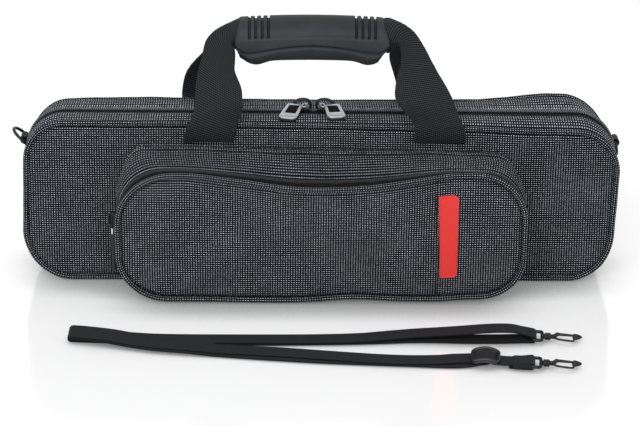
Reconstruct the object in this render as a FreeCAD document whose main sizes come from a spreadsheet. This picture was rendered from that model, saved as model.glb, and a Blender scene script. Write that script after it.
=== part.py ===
"""Soft flute case: two padded zip halves, a front pocket, a two-part grip and a loose shoulder strap.

Frame: X along the case, -Y to the front, +Z up. The origin is on the underside, midway along the
case, on the parting plane between the two halves. Millimetres throughout.
"""
import FreeCAD, Part
import math
import os
import Sketcher
from FreeCAD import Placement, Rotation, Vector

os.makedirs("parts", exist_ok=True)
doc = FreeCAD.newDocument("flute_case")

# ---------------------------------------------------------------- driving sizes
SIZES = [
    # the closed case, measured over its piping
    ("case_length", 445.0, "length over the end piping"),
    ("case_height", 125.0, "height over the top and bottom piping"),
    ("half_depth", 35.0, "parting plane to the outside of the panel piping"),
    ("corner_radius", 30.0, "corner of the case outline, over the piping"),
    ("panel_setback", 1.0, "how far the cloth lies inside the piping's outside"),
    ("fabric_thickness", 1.2, "woven cloth with its foam backing"),
    ("piping_radius", 2.0, "self-fabric piping cord, covered"),
    ("sewn_clearance", 0.1, "gap left between cloth pieces that are sewn together"),
    # zipper
    ("coil_radius", 1.2, "main zipper coil"),
    ("coil_offset", 1.9, "parting plane to the middle of each coil"),
    ("coil_depth", 2.8, "case outline to the middle of the coil"),
    ("tape_thickness", 0.8, "zipper tape"),
    ("tape_depth", 2.4, "case outline to the outside of the tape"),
    ("tape_width", 11.0, "zipper tape, coil to sewn edge"),
    ("lip_offset", 5.5, "parting plane to the folded edge of the gusset"),
    ("zip_end_height", 30.0, "height at which the zipper stops at each end"),
    ("parting_clearance", 0.15, "half gap between the two halves of the cloth hinge"),
    # foam trays and lining
    ("tray_depth", 3.4, "case outline to the outside of the foam tray"),
    ("tray_offset", 5.0, "parting plane to the mouth of the tray"),
    ("tray_wall", 8.0, "foam side wall"),
    ("tray_floor", 7.0, "foam behind the panel"),
    ("tray_chamfer", 2.2, "bevel that clears the piping"),
    ("lining_clearance", 0.2, "gap between foam tray and lined insert or pad"),
    ("lid_pad_thickness", 6.0, "plush pad in the front half"),
    ("body_channel_length", 362.0, "channel for the body joint"),
    ("body_channel_height", 38.0, "channel for the body joint, across"),
    ("head_channel_length", 232.0, "channel for the head joint"),
    ("foot_channel_length", 150.0, "channel for the foot joint"),
    ("short_channel_height", 32.0, "channels for the head and foot joints, across"),
    ("channel_floor", 4.0, "insert left under each channel"),
    ("channel_rib", 8.0, "insert left between the channels"),
    # front pocket
    ("pocket_length", 302.0, "pocket over its piping"),
    ("pocket_bottom", 1.0, "underside of the pocket above the floor"),
    ("pocket_top", 101.0, "top of the pocket front"),
    ("pocket_seam_drop", 14.0, "top of the case to the seam where the pocket is sewn on"),
    ("pocket_depth", 45.0, "front of the case piping to the front of the pocket piping"),
    ("pocket_radius", 36.0, "corner of the pocket outline"),
    ("pocket_zip_end", 64.0, "height at which the pocket zipper stops at each side"),
    ("pocket_zip_width", 4.0, "fixed half of the pocket zipper"),
    ("pocket_band_width", 4.6, "moving half of the pocket zipper with its plain strip"),
    ("label_width", 14.0, "blank label"),
    ("label_height", 62.0, "blank label"),
    ("label_thickness", 1.0, "blank label"),
    ("label_left", 86.0, "middle of the case to the label's sewn edge"),
    ("label_bottom", 23.0, "height of the label's lower edge"),
    ("label_radius", 3.0, "rounded free corners of the label"),
    # carrying handle
    ("web_width", 38.0, "handle webbing"),
    ("web_thickness", 2.0, "handle webbing"),
    ("web_left", -82.6, "middle of the front left web where it is sewn on"),
    ("web_right", 87.6, "middle of the front right web where it is sewn on"),
    ("back_web_left", -86.0, "middle of the back left web where it is sewn on"),
    ("back_web_right", 78.0, "middle of the back right web where it is sewn on"),
    ("web_anchor_height", 8.0, "sewn end of each web"),
    ("grip_length", 114.0, "moulded grip"),
    ("grip_middle", -7.0, "middle of the grip along the case"),
    ("grip_height", 183.2, "axis of the grip"),
    ("grip_radius", 15.0, "outside of the grip"),
    ("grip_wall", 3.0, "moulded shell"),
    ("grip_core_radius", 9.8, "core under the front shell"),
    ("grip_top_seam", 91.0, "angle at which the front shell starts, at the top"),
    ("grip_low_seam", 236.0, "angle at which the front shell ends, low at the front"),
    ("grip_seam_gap", 4.0, "angle left open at each seam"),
    ("slot_width", 1.4, "groove in the grip"),
    ("slot_pitch", 4.5, "groove spacing"),
    ("slot_inset", 8.0, "end of the grip to the first groove"),
    ("slot_depth", 1.6, "groove depth"),
    # main sliders and pulls
    ("slider_length", 14.0, "slider along the zipper"),
    ("slider_width", 8.4, "slider across the zipper"),
    ("slider_plate", 1.4, "slider plate"),
    ("slider_clearance", 0.4, "slider plate to coil"),
    ("slider_post", 0.8, "post between the coils"),
    ("slider_gap", 3.0, "gap between the two slider noses"),
    ("slider_middle", -5.6, "where the two sliders meet"),
    ("bridge_radius", 0.9, "bar over the slider"),
    ("bridge_height", 3.6, "plate to the middle of the bar"),
    ("bridge_span", 9.0, "length of the bar"),
    ("pull_length", 28.0, "pull, bar to tip"),
    ("pull_width", 12.0, "pull"),
    ("pull_thickness", 1.5, "pull"),
    ("pull_eye_clearance", 0.4, "bar to the eye of the pull"),
    ("pull_shift", 4.0, "eye of the pull to the middle of its plate, away from the other pull"),
    # D-rings
    ("ring_wire", 1.2, "radius of the D-ring wire"),
    ("ring_width", 19.0, "D-ring over its wire"),
    ("ring_reach", 13.0, "bar of the ring to the far side of its bow"),
    ("ring_middle", 19.0, "parting plane to the middle of the ring"),
    ("ring_height", 94.5, "height of the ring's bar"),
    ("ring_offset", 1.9, "case end to the ring's bar"),
    ("tab_width", 12.0, "webbing tab of the ring"),
    ("tab_radius", 2.6, "outside of the loop that holds the bar"),
    ("tab_height", 18.0, "sewn part of the tab"),
    ("bar_clearance", 0.1, "ring bar to its loop"),
    # pocket slider
    ("pocket_slider_length", 9.0, "pocket slider along its zipper"),
    ("pocket_slider_width", 5.0, "pocket slider across its zipper"),
    ("pocket_pull_length", 40.0, "pocket pull"),
    ("pocket_pull_width", 3.6, "pocket pull"),
    ("pocket_bar_rise", 3.4, "pocket slider plate to the middle of its bar"),
    ("pocket_pull_rise", 1.85, "pocket slider plate to the middle of its pull"),
    # shoulder strap
    ("strap_width", 15.0, "strap webbing"),
    ("strap_thickness", 1.2, "strap webbing"),
    ("hook_wire", 1.2, "radius of the hook's eye wire"),
    ("hook_thickness", 3.2, "cast hook body"),
    ("hook_length", 22.5, "hook body, swivel to tip"),
    ("hook_width", 12.0, "hook body"),
    ("hook_arm", 2.6, "width of the hook's arms"),
    ("hook_eye_length", 9.0, "strap eye of the hook"),
    ("hook_eye_width", 17.6, "strap eye of the hook"),
    ("swivel_radius", 1.5, "swivel pin"),
    ("swivel_clearance", 0.08, "swivel pin in its bore"),
    ("swivel_length", 5.0, "swivel barrel"),
    ("hook_lift", 2.9, "floor to the middle plane of a hook"),
    ("triglide_length", 20.0, "strap slide, along the strap"),
    ("triglide_width", 21.4, "strap slide, across the strap"),
    ("triglide_thickness", 2.8, "strap slide"),
]

sheet = doc.addObject("Spreadsheet::Sheet", "sheet")
for row, (alias, value, note) in enumerate(SIZES, start=1):
    sheet.set("A%d" % row, alias)
    sheet.set("B%d" % row, str(value))
    sheet.set("C%d" % row, note)
    sheet.setAlias("B%d" % row, alias)
doc.recompute()

NODES = []


def size(alias):
    """The number in a cell of the sheet."""
    return float(sheet.get(alias))


def bound(text):
    """An expression with every alias turned into a reference to the sheet."""
    words = []
    word = ""
    for letter in text + " ":
        if letter.isalnum() or letter in "_.":
            word += letter
            continue
        if word and word[0].isalpha() and word not in ("cos", "sin", "tan", "min"):
            word = "sheet." + word
        words.append(word + letter)
        word = ""
    return "".join(words).strip()


def sub_part(obj, node):
    """Name the object that is written out as one piece."""
    obj.Label = node
    NODES.append((node, obj))
    return obj


# ---------------------------------------------------------------- sketch and feature helpers
def new_body(node):
    body = doc.addObject("PartDesign::Body", node)
    return sub_part(body, node)


def origin_plane(body, role):
    return [item for item in body.Origin.OriginFeatures if item.Role == role][0]


def sketch_on(body, name, role="XZ_Plane", offset="0"):
    """A sketch on one of the body's own planes, moved along the plane's normal."""
    sketch = body.newObject("Sketcher::SketchObject", name)
    sketch.AttachmentSupport = [(origin_plane(body, role), "")]
    sketch.MapMode = "FlatFace"
    if offset != "0":
        sketch.setExpression("AttachmentOffset.Base.z", bound(offset))
    return sketch


def dimension(sketch, kind, args, guess, text):
    index = sketch.addConstraint(Sketcher.Constraint(kind, *args, guess))
    sketch.setExpression("Constraints[%d]" % index, bound(text))


def rounded_outline(sketch, left, right, low, high, radius, guess):
    """A rounded rectangle whose four sides and corner radius follow expressions."""
    x_low, x_high, y_low, y_high, r = guess
    sides = [((x_low + r, y_low), (x_high - r, y_low)), ((x_high, y_low + r), (x_high, y_high - r)),
             ((x_high - r, y_high), (x_low + r, y_high)), ((x_low, y_high - r), (x_low, y_low + r))]
    centres = [(x_high - r, y_low + r), (x_high - r, y_high - r), (x_low + r, y_high - r), (x_low + r, y_low + r)]
    lines = []
    for (ax, ay), (bx, by) in sides:
        lines.append(sketch.addGeometry(Part.LineSegment(Vector(ax, ay, 0), Vector(bx, by, 0)), False))
    arcs = []
    for turn, (cx, cy) in enumerate(centres):
        start = (turn - 1) * math.pi / 2
        circle = Part.Circle(Vector(cx, cy, 0), Vector(0, 0, 1), r)
        arcs.append(sketch.addGeometry(Part.ArcOfCircle(circle, start, start + math.pi / 2), False))
    for turn in range(4):
        sketch.addConstraint(Sketcher.Constraint("Tangent", lines[turn], 2, arcs[turn], 1))
        sketch.addConstraint(Sketcher.Constraint("Tangent", arcs[turn], 2, lines[(turn + 1) % 4], 1))
        if turn:
            sketch.addConstraint(Sketcher.Constraint("Equal", arcs[0], arcs[turn]))
    for turn, kind in enumerate(("Horizontal", "Vertical", "Horizontal", "Vertical")):
        sketch.addConstraint(Sketcher.Constraint(kind, lines[turn]))
    dimension(sketch, "Radius", (arcs[0],), r, radius)
    dimension(sketch, "DistanceX", (-1, 1, lines[1], 1), x_high, right)
    dimension(sketch, "DistanceX", (-1, 1, lines[3], 1), x_low, left)
    dimension(sketch, "DistanceY", (-1, 1, lines[0], 1), y_low, low)
    dimension(sketch, "DistanceY", (-1, 1, lines[2], 1), y_high, high)


def box_outline(sketch, left, right, low, high, guess):
    """A plain rectangle whose four sides follow expressions."""
    x_low, x_high, y_low, y_high = guess
    corners = [Vector(x_low, y_low, 0), Vector(x_high, y_low, 0), Vector(x_high, y_high, 0), Vector(x_low, y_high, 0)]
    lines = []
    for turn in range(4):
        lines.append(sketch.addGeometry(Part.LineSegment(corners[turn], corners[(turn + 1) % 4]), False))
    for turn in range(4):
        sketch.addConstraint(Sketcher.Constraint("Coincident", lines[turn], 2, lines[(turn + 1) % 4], 1))
    for turn, kind in enumerate(("Horizontal", "Vertical", "Horizontal", "Vertical")):
        sketch.addConstraint(Sketcher.Constraint(kind, lines[turn]))
    dimension(sketch, "DistanceX", (-1, 1, lines[1], 1), x_high, right)
    dimension(sketch, "DistanceX", (-1, 1, lines[3], 1), x_low, left)
    dimension(sketch, "DistanceY", (-1, 1, lines[0], 1), y_low, low)
    dimension(sketch, "DistanceY", (-1, 1, lines[2], 1), y_high, high)


def pad(body, sketch, length, reverse=False, name="Pad"):
    feature = body.newObject("PartDesign::Pad", name)
    feature.Profile = sketch
    feature.setExpression("Length", bound(length))
    feature.Reversed = reverse
    return feature


def pocket(body, sketch, length, reverse=False, name="Pocket", both=False):
    feature = body.newObject("PartDesign::Pocket", name)
    feature.Profile = sketch
    feature.setExpression("Length", bound(length))
    feature.Reversed = reverse
    feature.Midplane = both
    return feature


# Sketches on the XZ plane face -Y. The front half grows along that normal, the back half against it.
def toward(side, distance):
    """Offset of an XZ sketch that lies at a distance from the parting plane on one side."""
    return "-(%s)" % distance if side > 0 else distance


GUESS_CASE = (-200.0, 200.0, 10.0, 110.0, 20.0)
GUESS_CASE_INNER = (-190.0, 190.0, 18.0, 102.0, 14.0)
GUESS_POCKET = (-140.0, 140.0, 8.0, 95.0, 30.0)
GUESS_POCKET_INNER = (-134.0, 134.0, 14.0, 89.0, 24.0)


def case_outline(sketch, depth, guess=GUESS_CASE):
    """The case outline, set in from the outside by an expression."""
    reach = "case_length / 2 - (%s)" % depth
    rounded_outline(sketch, "-(%s)" % reach, reach, depth, "case_height - (%s)" % depth,
                    "corner_radius - (%s)" % depth, guess)


def standing_outline(sketch, depth, guess=GUESS_CASE):
    """The case outline for cloth that lies flat on the floor, level with the underside of the piping."""
    reach = "case_length / 2 - (%s)" % depth
    rounded_outline(sketch, "-(%s)" % reach, reach, "(%s) - panel_setback" % depth, "case_height - (%s)" % depth,
                    "corner_radius - (%s)" % depth, guess)


def pocket_outline(sketch, depth, guess=GUESS_POCKET, top="pocket_top"):
    """The pocket outline, set in from the outside by an expression."""
    reach = "pocket_length / 2 - (%s)" % depth
    rounded_outline(sketch, "-(%s)" % reach, reach, "pocket_bottom + (%s)" % depth, "%s - (%s)" % (top, depth),
                    "pocket_radius - (%s)" % depth, guess)


def cloth_plate(node, side, near, thickness, depth, outline=case_outline, guess=GUESS_CASE):
    """A flat piece of cloth, from a distance off the parting plane outward."""
    body = new_body(node)
    sketch = sketch_on(body, node + "_outline", offset=toward(side, near))
    outline(sketch, depth, guess)
    pad(body, sketch, thickness, reverse=side > 0, name=node + "_pad")
    return body


def cloth_band(node, side, near, width, depth, thickness, outline=case_outline, guesses=(GUESS_CASE, GUESS_CASE_INNER)):
    """A strip of cloth that runs round an outline."""
    body = new_body(node)
    sketch = sketch_on(body, node + "_outline", offset=toward(side, near))
    outline(sketch, depth, guesses[0])
    outline(sketch, "%s + %s" % (depth, thickness), guesses[1])
    pad(body, sketch, width, reverse=side > 0, name=node + "_pad")
    return body


def keep_height(body, node, low, high, reach="case_length"):
    """Cut away what lies outside a range of heights (None leaves that side)."""
    if high is not None:
        sketch = sketch_on(body, node + "_above")
        box_outline(sketch, "-" + reach, reach, high, "2 * case_height", (-400, 400, 60, 250))
        pocket(body, sketch, "8 * half_depth", both=True, name=node + "_trim_top")
    if low is not None:
        sketch = sketch_on(body, node + "_below")
        box_outline(sketch, "-" + reach, reach, "-case_height", low, (-400, 400, -120, 25))
        pocket(body, sketch, "8 * half_depth", both=True, name=node + "_trim_bottom")


def cord_ring(node, side, distance, depth, radius, outline=case_outline, guess=GUESS_CASE, low=None):
    """A round cord that follows an outline all the way round."""
    body = new_body(node)
    path = sketch_on(body, node + "_path", offset=toward(side, distance))
    outline(path, depth, guess)
    section = sketch_on(body, node + "_section", role="YZ_Plane")
    circle = section.addGeometry(Part.Circle(Vector(side * 30, 5, 0), Vector(0, 0, 1), 2), False)
    centre = ("-(%s)" % distance) if side < 0 else distance
    dimension(section, "DistanceX", (-1, 1, circle, 3), side * 30, centre)
    dimension(section, "DistanceY", (-1, 1, circle, 3), 5, low or depth)
    dimension(section, "Radius", (circle,), 2, radius)
    pipe = body.newObject("PartDesign::AdditivePipe", node + "_pipe")
    pipe.Profile = section
    pipe.Spine = (path, [])
    return body


# ---------------------------------------------------------------- plain solids bound to the sheet
def block(name, left, right, front, back, low, high):
    """An upright box between expressions, front and back along Y."""
    box = doc.addObject("Part::Box", name)
    box.setExpression("Length", bound("(%s) - (%s)" % (right, left)))
    box.setExpression("Width", bound("(%s) - (%s)" % (back, front)))
    box.setExpression("Height", bound("(%s) - (%s)" % (high, low)))
    box.setExpression("Placement.Base.x", bound(left))
    box.setExpression("Placement.Base.y", bound(front))
    box.setExpression("Placement.Base.z", bound(low))
    return box


AXES = {"X": Rotation(Vector(0, 0, 1), Vector(1, 0, 0)), "Y": Rotation(Vector(0, 0, 1), Vector(0, 1, 0)),
        "Z": Rotation()}


def rod(name, radius, length, place, along):
    """A cylinder that starts at a place given by three expressions and runs along one axis."""
    cylinder = doc.addObject("Part::Cylinder", name)
    cylinder.Placement = Placement(Vector(), AXES[along])
    cylinder.setExpression("Radius", bound(radius))
    cylinder.setExpression("Height", bound(length))
    for letter, text in zip("xyz", place):
        cylinder.setExpression("Placement.Base.%s" % letter, bound(text))
    return cylinder


def fuse(name, *solids):
    joined = doc.addObject("Part::MultiFuse", name)
    joined.Shapes = list(solids)
    joined.Refine = True
    return joined


def cut(name, base, tool):
    result = doc.addObject("Part::Cut", name)
    result.Base = base
    result.Tool = tool
    return result


def set_shape(node, shape):
    """A piece whose shape comes straight from curves and faces."""
    feature = doc.addObject("Part::Feature", node)
    feature.Shape = shape
    return sub_part(feature, node)


def ribbon(edges, thickness):
    """A webbing strip from pairs of edge points, each pair one station along it."""
    middles = [(a + b) * 0.5 for a, b in edges]
    sections = []
    for index, (a, b) in enumerate(edges):
        before = middles[max(index - 1, 0)]
        after = middles[min(index + 1, len(edges) - 1)]
        normal = (b - a).cross(after - before).normalize() * (thickness / 2)
        corners = [a + normal, b + normal, b - normal, a - normal]
        sections.append(Part.makePolygon(corners + corners[:1]))
    return Part.makeLoft(sections, True, True)


# ---------------------------------------------------------------- the two halves of the case
FRONT, BACK = -1, 1
PIPING_AT = "half_depth - piping_radius"
PANEL_AT = "half_depth - panel_setback - fabric_thickness"
GUSSET_END = "half_depth - 2 * piping_radius - sewn_clearance"
TRAY_END = "half_depth - panel_setback - fabric_thickness - lining_clearance"


def foam_tray(node, side):
    """Moulded foam tray, open towards the parting plane and bevelled behind the piping."""
    body = new_body(node)
    outer = sketch_on(body, node + "_outer", offset=toward(side, "tray_offset"))
    case_outline(outer, "tray_depth")
    block_pad = pad(body, outer, "%s - tray_offset" % TRAY_END, reverse=side > 0, name=node + "_block")
    doc.recompute()
    far = max(range(len(block_pad.Shape.Faces)), key=lambda i: side * block_pad.Shape.Faces[i].CenterOfMass.y)
    bevel = body.newObject("PartDesign::Chamfer", node + "_bevel")
    bevel.Base = (block_pad, ["Face%d" % (far + 1)])
    bevel.setExpression("Size", bound("tray_chamfer"))
    doc.recompute()
    inner = sketch_on(body, node + "_inner", offset=toward(side, "tray_offset"))
    case_outline(inner, "tray_depth + tray_wall", GUESS_CASE_INNER)
    pocket(body, inner, "%s - tray_offset - tray_floor" % TRAY_END, reverse=side < 0, name=node + "_hollow")
    return body


def half(prefix, side):
    """Everything that both halves of the case have."""
    foam_tray(prefix + "_shell", side)
    cloth_plate(prefix + "_panel", side, PANEL_AT, "fabric_thickness", "2 * piping_radius + sewn_clearance")
    cloth_band(prefix + "_gusset", side, "lip_offset", "%s - lip_offset" % GUSSET_END, "panel_setback",
               "fabric_thickness", standing_outline)
    cord_ring(prefix + "_piping", side, PIPING_AT, "piping_radius", "piping_radius")
    tape_start = "coil_offset + coil_radius + sewn_clearance"
    tape = cloth_band(prefix + "_zipper_tape", side, tape_start, "tape_width", "tape_depth", "tape_thickness")
    keep_height(tape, prefix + "_zipper_tape", "zip_end_height", None)
    coil = cord_ring(prefix + "_zipper_coil", side, "coil_offset", "coil_depth", "coil_radius")
    keep_height(coil, prefix + "_zipper_coil", "zip_end_height", None)
    spine = cloth_band(prefix + "_hinge_cloth", side, "parting_clearance",
                       "lip_offset - sewn_clearance - parting_clearance", "panel_setback", "fabric_thickness",
                       standing_outline)
    keep_height(spine, prefix + "_hinge_cloth", None, "zip_end_height - sewn_clearance")


half("front", FRONT)
half("back", BACK)

# ---------------------------------------------------------------- what lies in the foam trays
LINING_DEPTH = "tray_depth + tray_wall + lining_clearance"
HOLLOW_END = "%s - tray_floor - lining_clearance" % TRAY_END
cloth_plate("lid_pad", FRONT, "%s - lid_pad_thickness" % HOLLOW_END, "lid_pad_thickness", LINING_DEPTH,
            guess=GUESS_CASE_INNER)

insert = cloth_plate("flute_insert", BACK, "tray_offset", "%s - tray_offset" % HOLLOW_END, LINING_DEPTH,
                     guess=GUESS_CASE_INNER)
INSERT_LEFT = "case_length / 2 - (%s)" % LINING_DEPTH
INSERT_TOP = "case_height - (%s)" % LINING_DEPTH
CHANNEL_DEPTH = "%s - tray_offset - channel_floor" % HOLLOW_END
BODY_TOP = "%s - channel_rib" % INSERT_TOP
SHORT_LOW = "%s + channel_rib" % LINING_DEPTH
SHORT_HIGH = "%s + short_channel_height" % SHORT_LOW


def channel(name, left, right, low, high, guess):
    """A long slot with rounded ends in the insert."""
    sketch = sketch_on(insert, name, offset=toward(BACK, "tray_offset"))
    rounded_outline(sketch, left, right, low, high, "channel_rib", guess)
    pocket(insert, sketch, CHANNEL_DEPTH, name=name + "_cut")


channel("body_channel", "-body_channel_length / 2", "body_channel_length / 2",
        "%s - body_channel_height" % BODY_TOP, BODY_TOP, (-170, 170, 65, 105, 8))
SHORT_LEFT = "-(head_channel_length + foot_channel_length + channel_rib) / 2"
channel("head_channel", SHORT_LEFT, "%s + head_channel_length" % SHORT_LEFT, SHORT_LOW, SHORT_HIGH,
        (-190, 40, 20, 50, 8))
channel("foot_channel", "%s + head_channel_length + channel_rib" % SHORT_LEFT, "-(%s)" % SHORT_LEFT,
        SHORT_LOW, SHORT_HIGH, (50, 190, 20, 50, 8))

# ---------------------------------------------------------------- front pocket
POCKET_FRONT = "half_depth + pocket_depth"
POCKET_PIPING_AT = "%s - piping_radius" % POCKET_FRONT
FLAP_BAND_END = "%s - 2 * piping_radius - sewn_clearance" % POCKET_FRONT
FLAP_BAND_AT = "%s - pocket_band_width" % FLAP_BAND_END
ZIP_BAND_AT = "%s - sewn_clearance - pocket_zip_width" % FLAP_BAND_AT
POCKET_GUSSET_AT = "half_depth + sewn_clearance"
POCKET_GUSSET_END = "%s - sewn_clearance" % ZIP_BAND_AT

gusset = new_body("pocket_gusset")


def pocket_box(name, depth, guess, additive):
    """A loft from the outline sewn to the case to the outline at the zipper."""
    near = sketch_on(gusset, name + "_near", offset=toward(FRONT, POCKET_GUSSET_AT))
    pocket_outline(near, depth, guess, top="case_height - pocket_seam_drop")
    far = sketch_on(gusset, name + "_far", offset=toward(FRONT, POCKET_GUSSET_END))
    pocket_outline(far, depth, guess)
    kind = "PartDesign::AdditiveLoft" if additive else "PartDesign::SubtractiveLoft"
    loft = gusset.newObject(kind, name)
    loft.Profile = near
    loft.Sections = [far]
    loft.Ruled = True


pocket_box("pocket_skin", "panel_setback", GUESS_POCKET, True)
pocket_box("pocket_room", "panel_setback + fabric_thickness", GUESS_POCKET_INNER, False)

POCKET_GUESSES = (GUESS_POCKET, GUESS_POCKET_INNER)
fixed_zip = cloth_band("pocket_zipper_fixed", FRONT, ZIP_BAND_AT, "pocket_zip_width", "panel_setback",
                       "fabric_thickness", pocket_outline, POCKET_GUESSES)
keep_height(fixed_zip, "pocket_zipper_fixed", "pocket_zip_end", None)
side_band = cloth_band("pocket_lower_gusset", FRONT, ZIP_BAND_AT,
                       "pocket_zip_width + sewn_clearance + pocket_band_width - sewn_clearance", "panel_setback",
                       "fabric_thickness", pocket_outline, POCKET_GUESSES)
keep_height(side_band, "pocket_lower_gusset", None, "pocket_zip_end - sewn_clearance")
moving_zip = cloth_band("pocket_zipper_moving", FRONT, FLAP_BAND_AT, "pocket_band_width", "panel_setback",
                        "fabric_thickness", pocket_outline, POCKET_GUESSES)
keep_height(moving_zip, "pocket_zipper_moving", "pocket_zip_end", None)
cord_ring("pocket_piping", FRONT, POCKET_PIPING_AT, "piping_radius", "piping_radius", pocket_outline, GUESS_POCKET,
          low="pocket_bottom + piping_radius")
FLAP_PANEL_AT = "%s - panel_setback - fabric_thickness" % POCKET_FRONT
cloth_plate("pocket_panel", FRONT, FLAP_PANEL_AT, "fabric_thickness", "2 * piping_radius + sewn_clearance",
            pocket_outline, GUESS_POCKET)

label = new_body("label")
label_face = sketch_on(label, "label_outline", offset=toward(FRONT, "%s - panel_setback" % POCKET_FRONT))
rounded_outline(label_face, "label_left", "label_left + label_width", "label_bottom",
                "label_bottom + label_height", "label_radius", (80, 95, 20, 90, 2))
pad(label, label_face, "label_thickness", name="label_pad")

# ---------------------------------------------------------------- carrying handle
WEB_STANDOFF = 2.4          # middle of the web in front of the panel piping's outside
WEB_LIFT = 0.4              # gap between the sewn end and the free web
# Stations up one free web, for its outer and its inner edge: how far the edge has come from its sewn
# place towards the end of the grip (0 to 1), how far back it leans from the pivot line, and its height.
# The outer edge turns up over the grip and the inner edge turns in under it.
WEB_RISE = [
    ((0.02, -1.6, 9.0), (0.10, -2.2, 9.0)),
    ((0.12, 7.0, 24.5), (0.45, -1.0, 22.5)),
    ((0.33, 19.0, 43.5), (0.75, 8.5, 38.5)),
    ((0.50, 28.0, 58.2), (0.60, 17.5, 49.2)),
    ((0.70, 33.5, 69.2), (0.70, 22.0, 55.7)),
]
web_width = size("web_width")
pivot_y = size("half_depth") + WEB_STANDOFF
pivot_z = size("case_height") - size("pocket_seam_drop") + size("web_anchor_height") + WEB_LIFT


def handle_web(node, side, middle, lean):
    """A free web: from its sewn end, over the edge of the case and twisted into the grip's end."""
    grip_end = size("grip_middle") + lean * size("grip_length") / 2
    half_width = web_width / 2
    edges = [(Vector(middle + lean * half_width, side * pivot_y, pivot_z),
              Vector(middle - lean * half_width, side * pivot_y, pivot_z))]
    reach = abs(grip_end - middle)
    for outer, inner in WEB_RISE:
        pair = []
        for (share, back, rise), start in ((outer, -half_width), (inner, half_width)):
            along = start + share * (reach - start)
            pair.append(Vector(middle - lean * along, side * (pivot_y - back), pivot_z + rise))
        edges.append(tuple(pair))
    grip_gap = lean * 0.6
    top = Vector(grip_end + grip_gap, side * 1.0, size("grip_height") + size("grip_radius") - 3.0)
    low = Vector(grip_end + grip_gap, side * (size("grip_radius") - 2.0), size("grip_height") - 3.0)
    edges.append((top, low))
    return set_shape(node, ribbon(edges, size("web_thickness")))


def web_anchor(node, side, middle):
    """The sewn end of a web, flat on the panel."""
    near = "half_depth - panel_setback + sewn_clearance"
    front = "-(%s) - web_thickness" % near if side < 0 else near
    back = "-(%s)" % near if side < 0 else "%s + web_thickness" % near
    plate = block(node, middle + " - web_width / 2", middle + " + web_width / 2", front, back, "case_height - pocket_seam_drop",
                  "case_height - pocket_seam_drop + web_anchor_height")
    return sub_part(plate, node)


for prefix, side, start in (("front", FRONT, "web_"), ("back", BACK, "back_web_")):
    for word, lean in (("left", -1), ("right", 1)):
        middle = start + word
        web_anchor("%s_web_end_%s" % (prefix, word), side, middle)
        handle_web("%s_web_%s" % (prefix, word), side, size(middle), lean)


def sector(name, radius, start, sweep):
    """A pie-shaped bar along the grip, angles counted from +Y towards +Z."""
    bar = doc.addObject("Part::Cylinder", name)
    bar.setExpression("Radius", bound(radius))
    bar.setExpression("Height", bound("grip_length"))
    bar.setExpression("Angle", bound(sweep))
    turn = size(start) if isinstance(start, str) else start
    bar.Placement = Placement(Vector(), Rotation(Vector(0, math.cos(math.radians(turn)), math.sin(math.radians(turn))),
                                                 Vector(0, -math.sin(math.radians(turn)), math.cos(math.radians(turn))),
                                                 Vector(1, 0, 0), "ZXY"))
    bar.setExpression("Placement.Base.x", bound("grip_middle - grip_length / 2"))
    bar.setExpression("Placement.Base.z", bound("grip_height"))
    return bar


def grip_slots(name, front, back, low, high):
    """Four grooves near each end of the grip."""
    bars = []
    for end, lean in (("left", -1), ("right", 1)):
        for count in range(4):
            middle = "grip_middle + %d * (grip_length / 2 - slot_inset - %d * slot_pitch)" % (lean, count)
            bars.append(block("%s_%s_%d" % (name, end, count), middle + " - slot_width / 2",
                              middle + " + slot_width / 2", front, back, low, high))
    return fuse(name, *bars)


front_sweep = "grip_low_seam - grip_top_seam"
shell = cut("grip_front_hollow", sector("grip_front_bar", "grip_radius", "grip_top_seam", front_sweep),
            sector("grip_front_bore", "grip_radius - grip_wall", "grip_top_seam", front_sweep))
slots = grip_slots("grip_groove", "-2 * grip_radius", "-grip_radius + slot_depth", "grip_height - grip_radius / 4",
                   "grip_height + grip_radius")
sub_part(cut("grip_front", shell, slots), "grip_front")

back_start = size("grip_low_seam") + size("grip_seam_gap")
back_bar = sector("grip_back_bar", "grip_radius", back_start, "360 - (%s) - 2 * grip_seam_gap" % front_sweep)
core = rod("grip_core", "grip_core_radius", "grip_length", ("grip_middle - grip_length / 2", "0", "grip_height"), "X")
sub_part(fuse("grip_back", back_bar, core), "grip_back")

# ---------------------------------------------------------------- main zipper sliders and pulls
COIL_TOP = "case_height - coil_depth + coil_radius"
COIL_LOW = "case_height - coil_depth - coil_radius"
PLATE_LOW = "%s + slider_clearance" % COIL_TOP
PLATE_TOP = "%s + slider_plate" % PLATE_LOW
BAR_AT = "%s + bridge_height" % PLATE_TOP


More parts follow.
